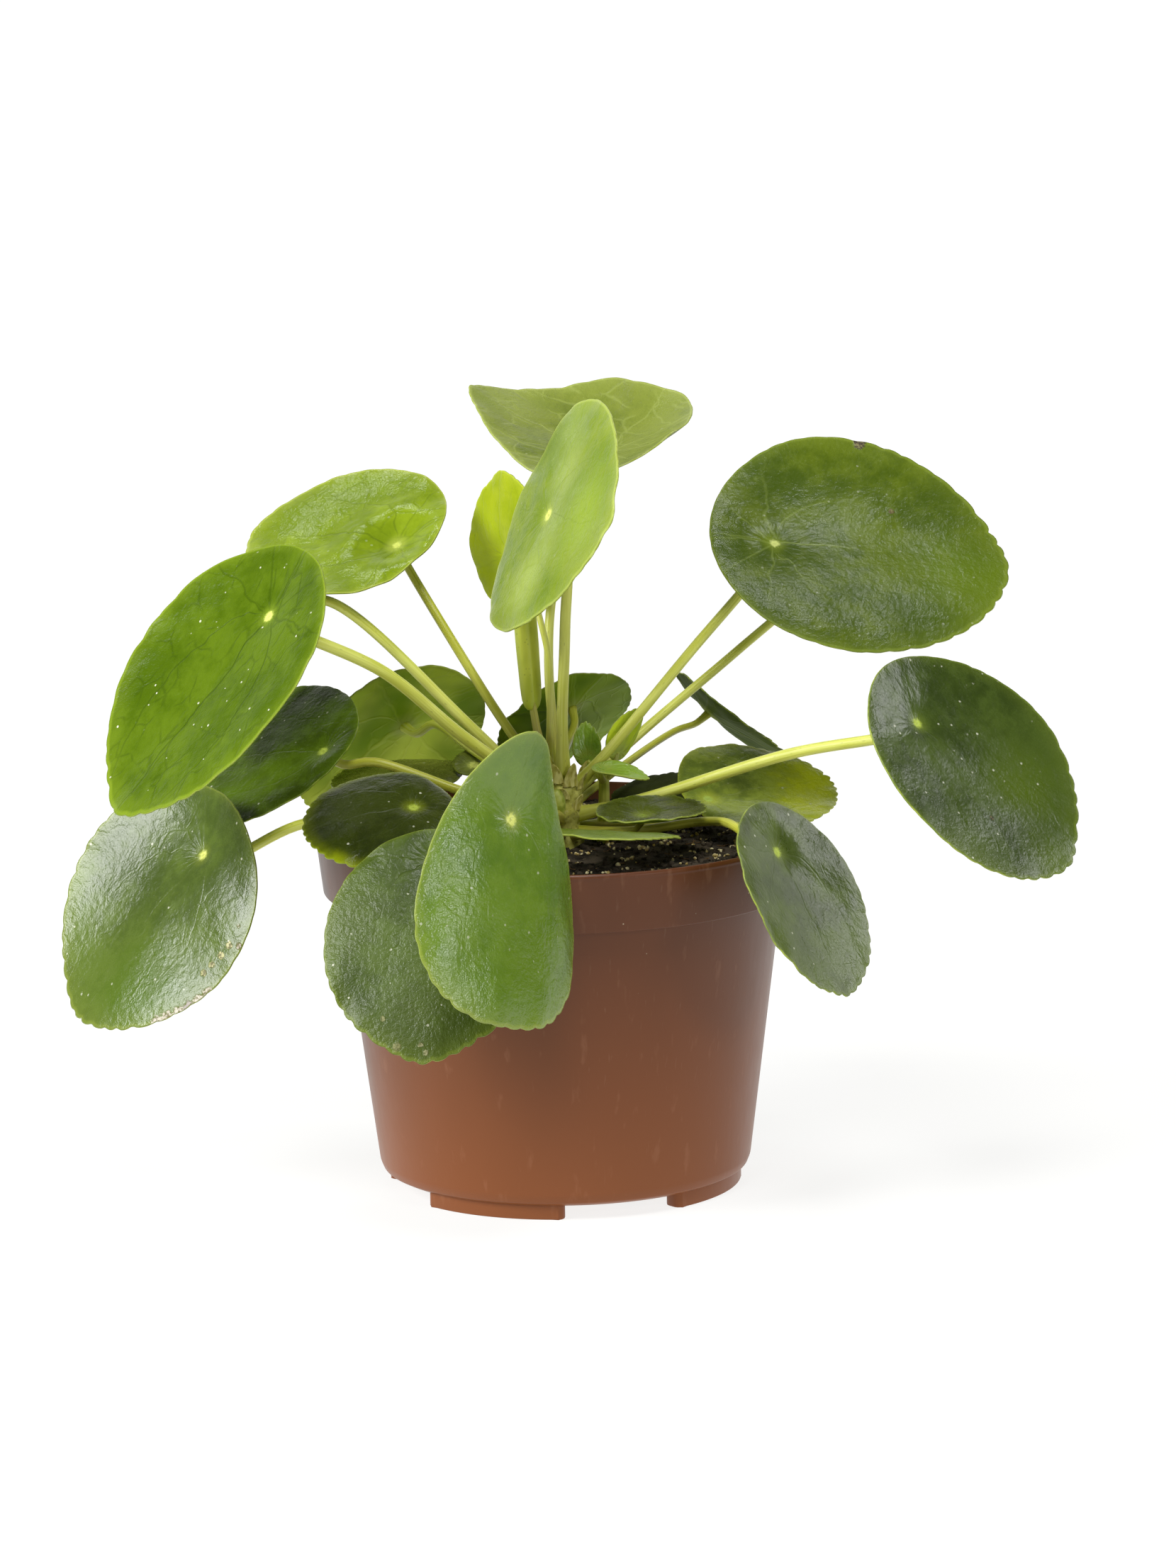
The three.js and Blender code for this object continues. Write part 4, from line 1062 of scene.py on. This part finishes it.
# The tones of each blade are its dark and light green, its margin and its veins.
LOOKS = {
    "top_front": skin("#637a1c #788b22 #b0be5c #6f8426", YOUNG, vein_strength=0.3,
        patches=[(24, 2, 20, "#96ad3c", 0.5)] + [(*spot, 12, "#aebf66", 0.26) for spot in PAINTED_SHEEN_ARC],
        shine=0.12, relief=0.34),
    "top_back": skin("#647228 #7a8634 #a3ae5c #a4b062", YOUNG, vein_strength=0.45,
        bumps=[(10, -23, 8, 1.5), (24, -11, 8, -0.9)], patches=[(30, -4, 14, "#96a250", 0.5)], relief=0.3),
    # top_young: its patch is painted light on its shaded side, and its painted glow makes the face give off
    # light of its own colour.
    "top_young": skin("#7d8d0e #8f9c1a #a6b23a #6d7c0c", YOUNG, dark_dots=0.8,
        patches=[(6, 12, 15, "#9fae1a", 0.5)], glow=0.27, shine=0.06),
    "left_upper": skin("#667b0a #7d9216 #a9b54c #4a5e08", YOUNG, vein_strength=0.55, ring=1.4,
        navel="#c6d060", navel_size=1.4, shine=0.32, gloss=0.2),
    "left_large": skin("#445c02 #566e0c #869c28 #2a4000", YOUNG, vein_strength=0.66, vein_width=0.00055,
        vein_reach=0.12, notch=0.35, dust=0.8, shine=0.1, relief=0.26),
    "left_hidden": skin("#506408 #66781a #93ab44 #4c7010"),
    "left_dark": skin("#384a0c #526a14 #6a8024 #4c6018", OLD, patches=[(22, 17, 13, "#5c7810", 0.7)],
        shine=0.08),
    # back_left's underside tones are partly painted light: paler and brighter, as if lit through the leaf
    # from above.
    "back_left": skin("#4a600a #5f741a #98a840 #5f7424", under="#cae04a", under_dark="#82a40c",
        under_vein="#dcea68", under_shine=0.15),
    "left_low_dark": skin("#252e0a #3a450e #8a9816 #3d4914", OLD, edge_strength=0.4,
        patches=[(22, 15, 7, "#8f9c0e", 0.9), (10, 19, 6, "#9aa610", 0.9)], shine=0.15),
    "left_lower": skin("#44561a #586c22 #808e34 #5c6c24", OLD, slot="leaf_mature",
        patches=[(34, 14, 22, "#4f6a0c", 0.8)], scars=[(19.5, 24.4, 1, "#c8c48c", 0.9),
        (16.6, 24.9, 1, "#d0cc98", 0.9), (13.3, 25.5, 1.1, "#c8c48c", 0.9),
        (10.1, 25.8, 1.1, "#d0cc98", 0.9), (5, 24.9, 0.6, "#cfd0b8", 0.7), (36.5, 23.2, 2.2, "#d2ccba", 1),
        (33.8, 24.9, 2.3, "#c6c0ac", 1), (30.8, 26.4, 2.1, "#d2ccba", 1), (28, 27.6, 1.9, "#b0a8a0", 1),
        (25.2, 28.5, 2.1, "#d2ccba", 1), (22.4, 29, 1.9, "#c6c0ac", 1), (8.5, 28, 1, "#b8b0a0", 1)],
        folds=0.1, shine=0.42, navel=NAVEL_COLOR, bumps=[(19, 19, 12, -1.5)], relief=0.2, crinkle_size=1.8,
        swell=0.3, wave=0.15),
    "back_low_dark": skin("#50581e #7c8434 #8c9a3c #5c6430", OLD, shine=0.25),
    "back_low_small": skin("#4c561c #747e2a #8c9a3c #6a7434", slot="leaf_old"),
    "front_left": skin("#34440c #4a5c1c #75842c #505f20", OLD, slot="leaf_mature", crinkle_size=1.5,
        patches=[(14, -22, 14, "#4d5c22", 0.6), (40, -2, 16, "#4c5a26", 0.6)],
        scars=[(38.9, -10, 0.8, "#a8a474", 0.5), (45, -0.6, 0.8, "#b4b084", 0.6),
        (46.8, 0.8, 0.8, "#b4b084", 0.6), (45.6, -6.3, 1.2, "#a29c6c", 0.5)], gloss=0.34, relief=0.38,
        folds=0, shine=0.3),
    "front_centre": skin("#517013 #63801b #96a440 #667a24", gloss=0.26, notch=0.3, vein_strength=0.15,
        dust=0.5, relief=0.26, shine=0.68, crinkle_size=1.7, folds=0.1,
        patches=[(36, 6, 18, "#5c780c", 0.8)]),
    "back_centre": skin("#38500c #4b6812 #7a8a2c #4a641c", slot="leaf_old", under="#9ab82c",
        under_dark="#60801e", under_vein="#a8be40", under_shine=0.15),
    "back_hidden": skin("#3c4c10 #505f1c #7a943c #5c7a34", OLD, wave=0.3, swell=0.3),
    "right_upper": skin("#3f5208 #596a10 #7f9030 #8a9a4c", OLD, vein_reach=0.03, vein_strength=0.55,
        net_strength=0.1, rib_depth=0.08, patches=[(50, -6, 24, "#60760c", 0.7)],
        scars=[(22.3, 32.6, 1.8, "#3c3424", 1), (29.8, 13.9, 0.9, "#5a4c2c", 0.9)], dust=0.25, folds=0.2,
        shine=0.26, relief=0.17, gloss=0.25, crinkle_size=2.2, navel_spread=9, navel="#cfd97c",
        navel_size=1.5, swell=0.25, wave=0.2),
    "right_hidden": skin("#46580e #5c6e1c #86a044 #5c7a2c"),
    "right_lower": skin("#2e3e0a #445618 #708228 #445418", OLD, vein_reach=0.02,
        patches=[(30, 8, 16, "#50640c", 0.8), (28, -26, 16, "#4a5c0c", 0.7), (46, -4, 12, "#566a12", 0.6)],
        scars=[(27.7, -8.4, 0.8, "#2c2818", 1)], shine=0.4, folds=0.12, gloss=0.27, relief=0.2, wave=0.2,
        swell=0.4),
    "right_low": skin("#566624 #849232 #b4bd3c #6a7634", OLD, slot="leaf_mature",
        patches=[(31, 0, 18, "#c4ce20", 1), (24, -11, 13, "#b4be20", 0.9), (10, 4, 9, "#404c1c", 0.9)],
        shine=0.25, navel="#a9bf52", navel_size=1.5),
    "front_right": skin("#3c4a18 #56662a #75843a #4f5e2a", OLD, slot="leaf_mature", crinkle_size=1.8,
        patches=[(12, 2, 10, "#36421a", 0.5), (24, -8, 8, "#36421a", 0.5)], relief=0.24, folds=0.12,
        shine=0.6, gloss=0.31),
    "right_edge_on": skin("#4a5614 #63711c #6c7c34 #50602a", slot="leaf_old", under="#566a1a",
        under_dark="#465a10", shine=0.02, gloss=0.8, under_shine=0.02),
    "centre_low": skin("#2c340a #465012 #7c8834 #50601c", OLD, shine=0.08, navel="#7d8e34", navel_size=1.3),
    "back_right_low": skin("#262b10 #383e1c #3c4818 #2c340e", slot="leaf_old", shine=0.03, gloss=0.8),
    "front_low": skin("#566a10 #647616 #96a440 #6c7c24", dark_dots=0.5, shine=0.08),
}

# Painted light: stalks that lie in the leaves' shade get lighter copies of the stalk finish, the brightest
# for the first two, a paler one for the next list.
PAINTED_BRIGHTEST_STALKS = ("back_left", "left_lower")
PAINTED_LIT_STALKS = ("top_front", "top_back", "top_young", "left_large", "left_hidden", "right_upper",
               "right_hidden", "right_lower")

# --- the plant
# The stalk finish, and two lighter copies of it that are painted light.
stalk_green = stalk_finish("stalk_green", "#abad30", "#c4c64e")
stalk_painted_lit = stalk_finish("stalk_painted_lit", "#c4c84a", "#d9dd6e")
stalk_painted_brightest = stalk_finish("stalk_painted_brightest", "#e4ea50", "#f4f886")
for number, (leaf_name, leaf) in enumerate(LEAVES.items()):
    make_blade(f"{leaf_name}_blade", leaf, LOOKS[leaf_name], number + 1, [f"leaf_{leaf_name}"])
    stalk = stalk_painted_lit if leaf_name in PAINTED_LIT_STALKS else stalk_green
    make_stalk(leaf_name, leaf, stalk_painted_brightest if leaf_name in PAINTED_BRIGHTEST_STALKS else stalk)
make_shoot()
make_scroll()
make_stem()
make_pot()
make_soil()
make_stage()
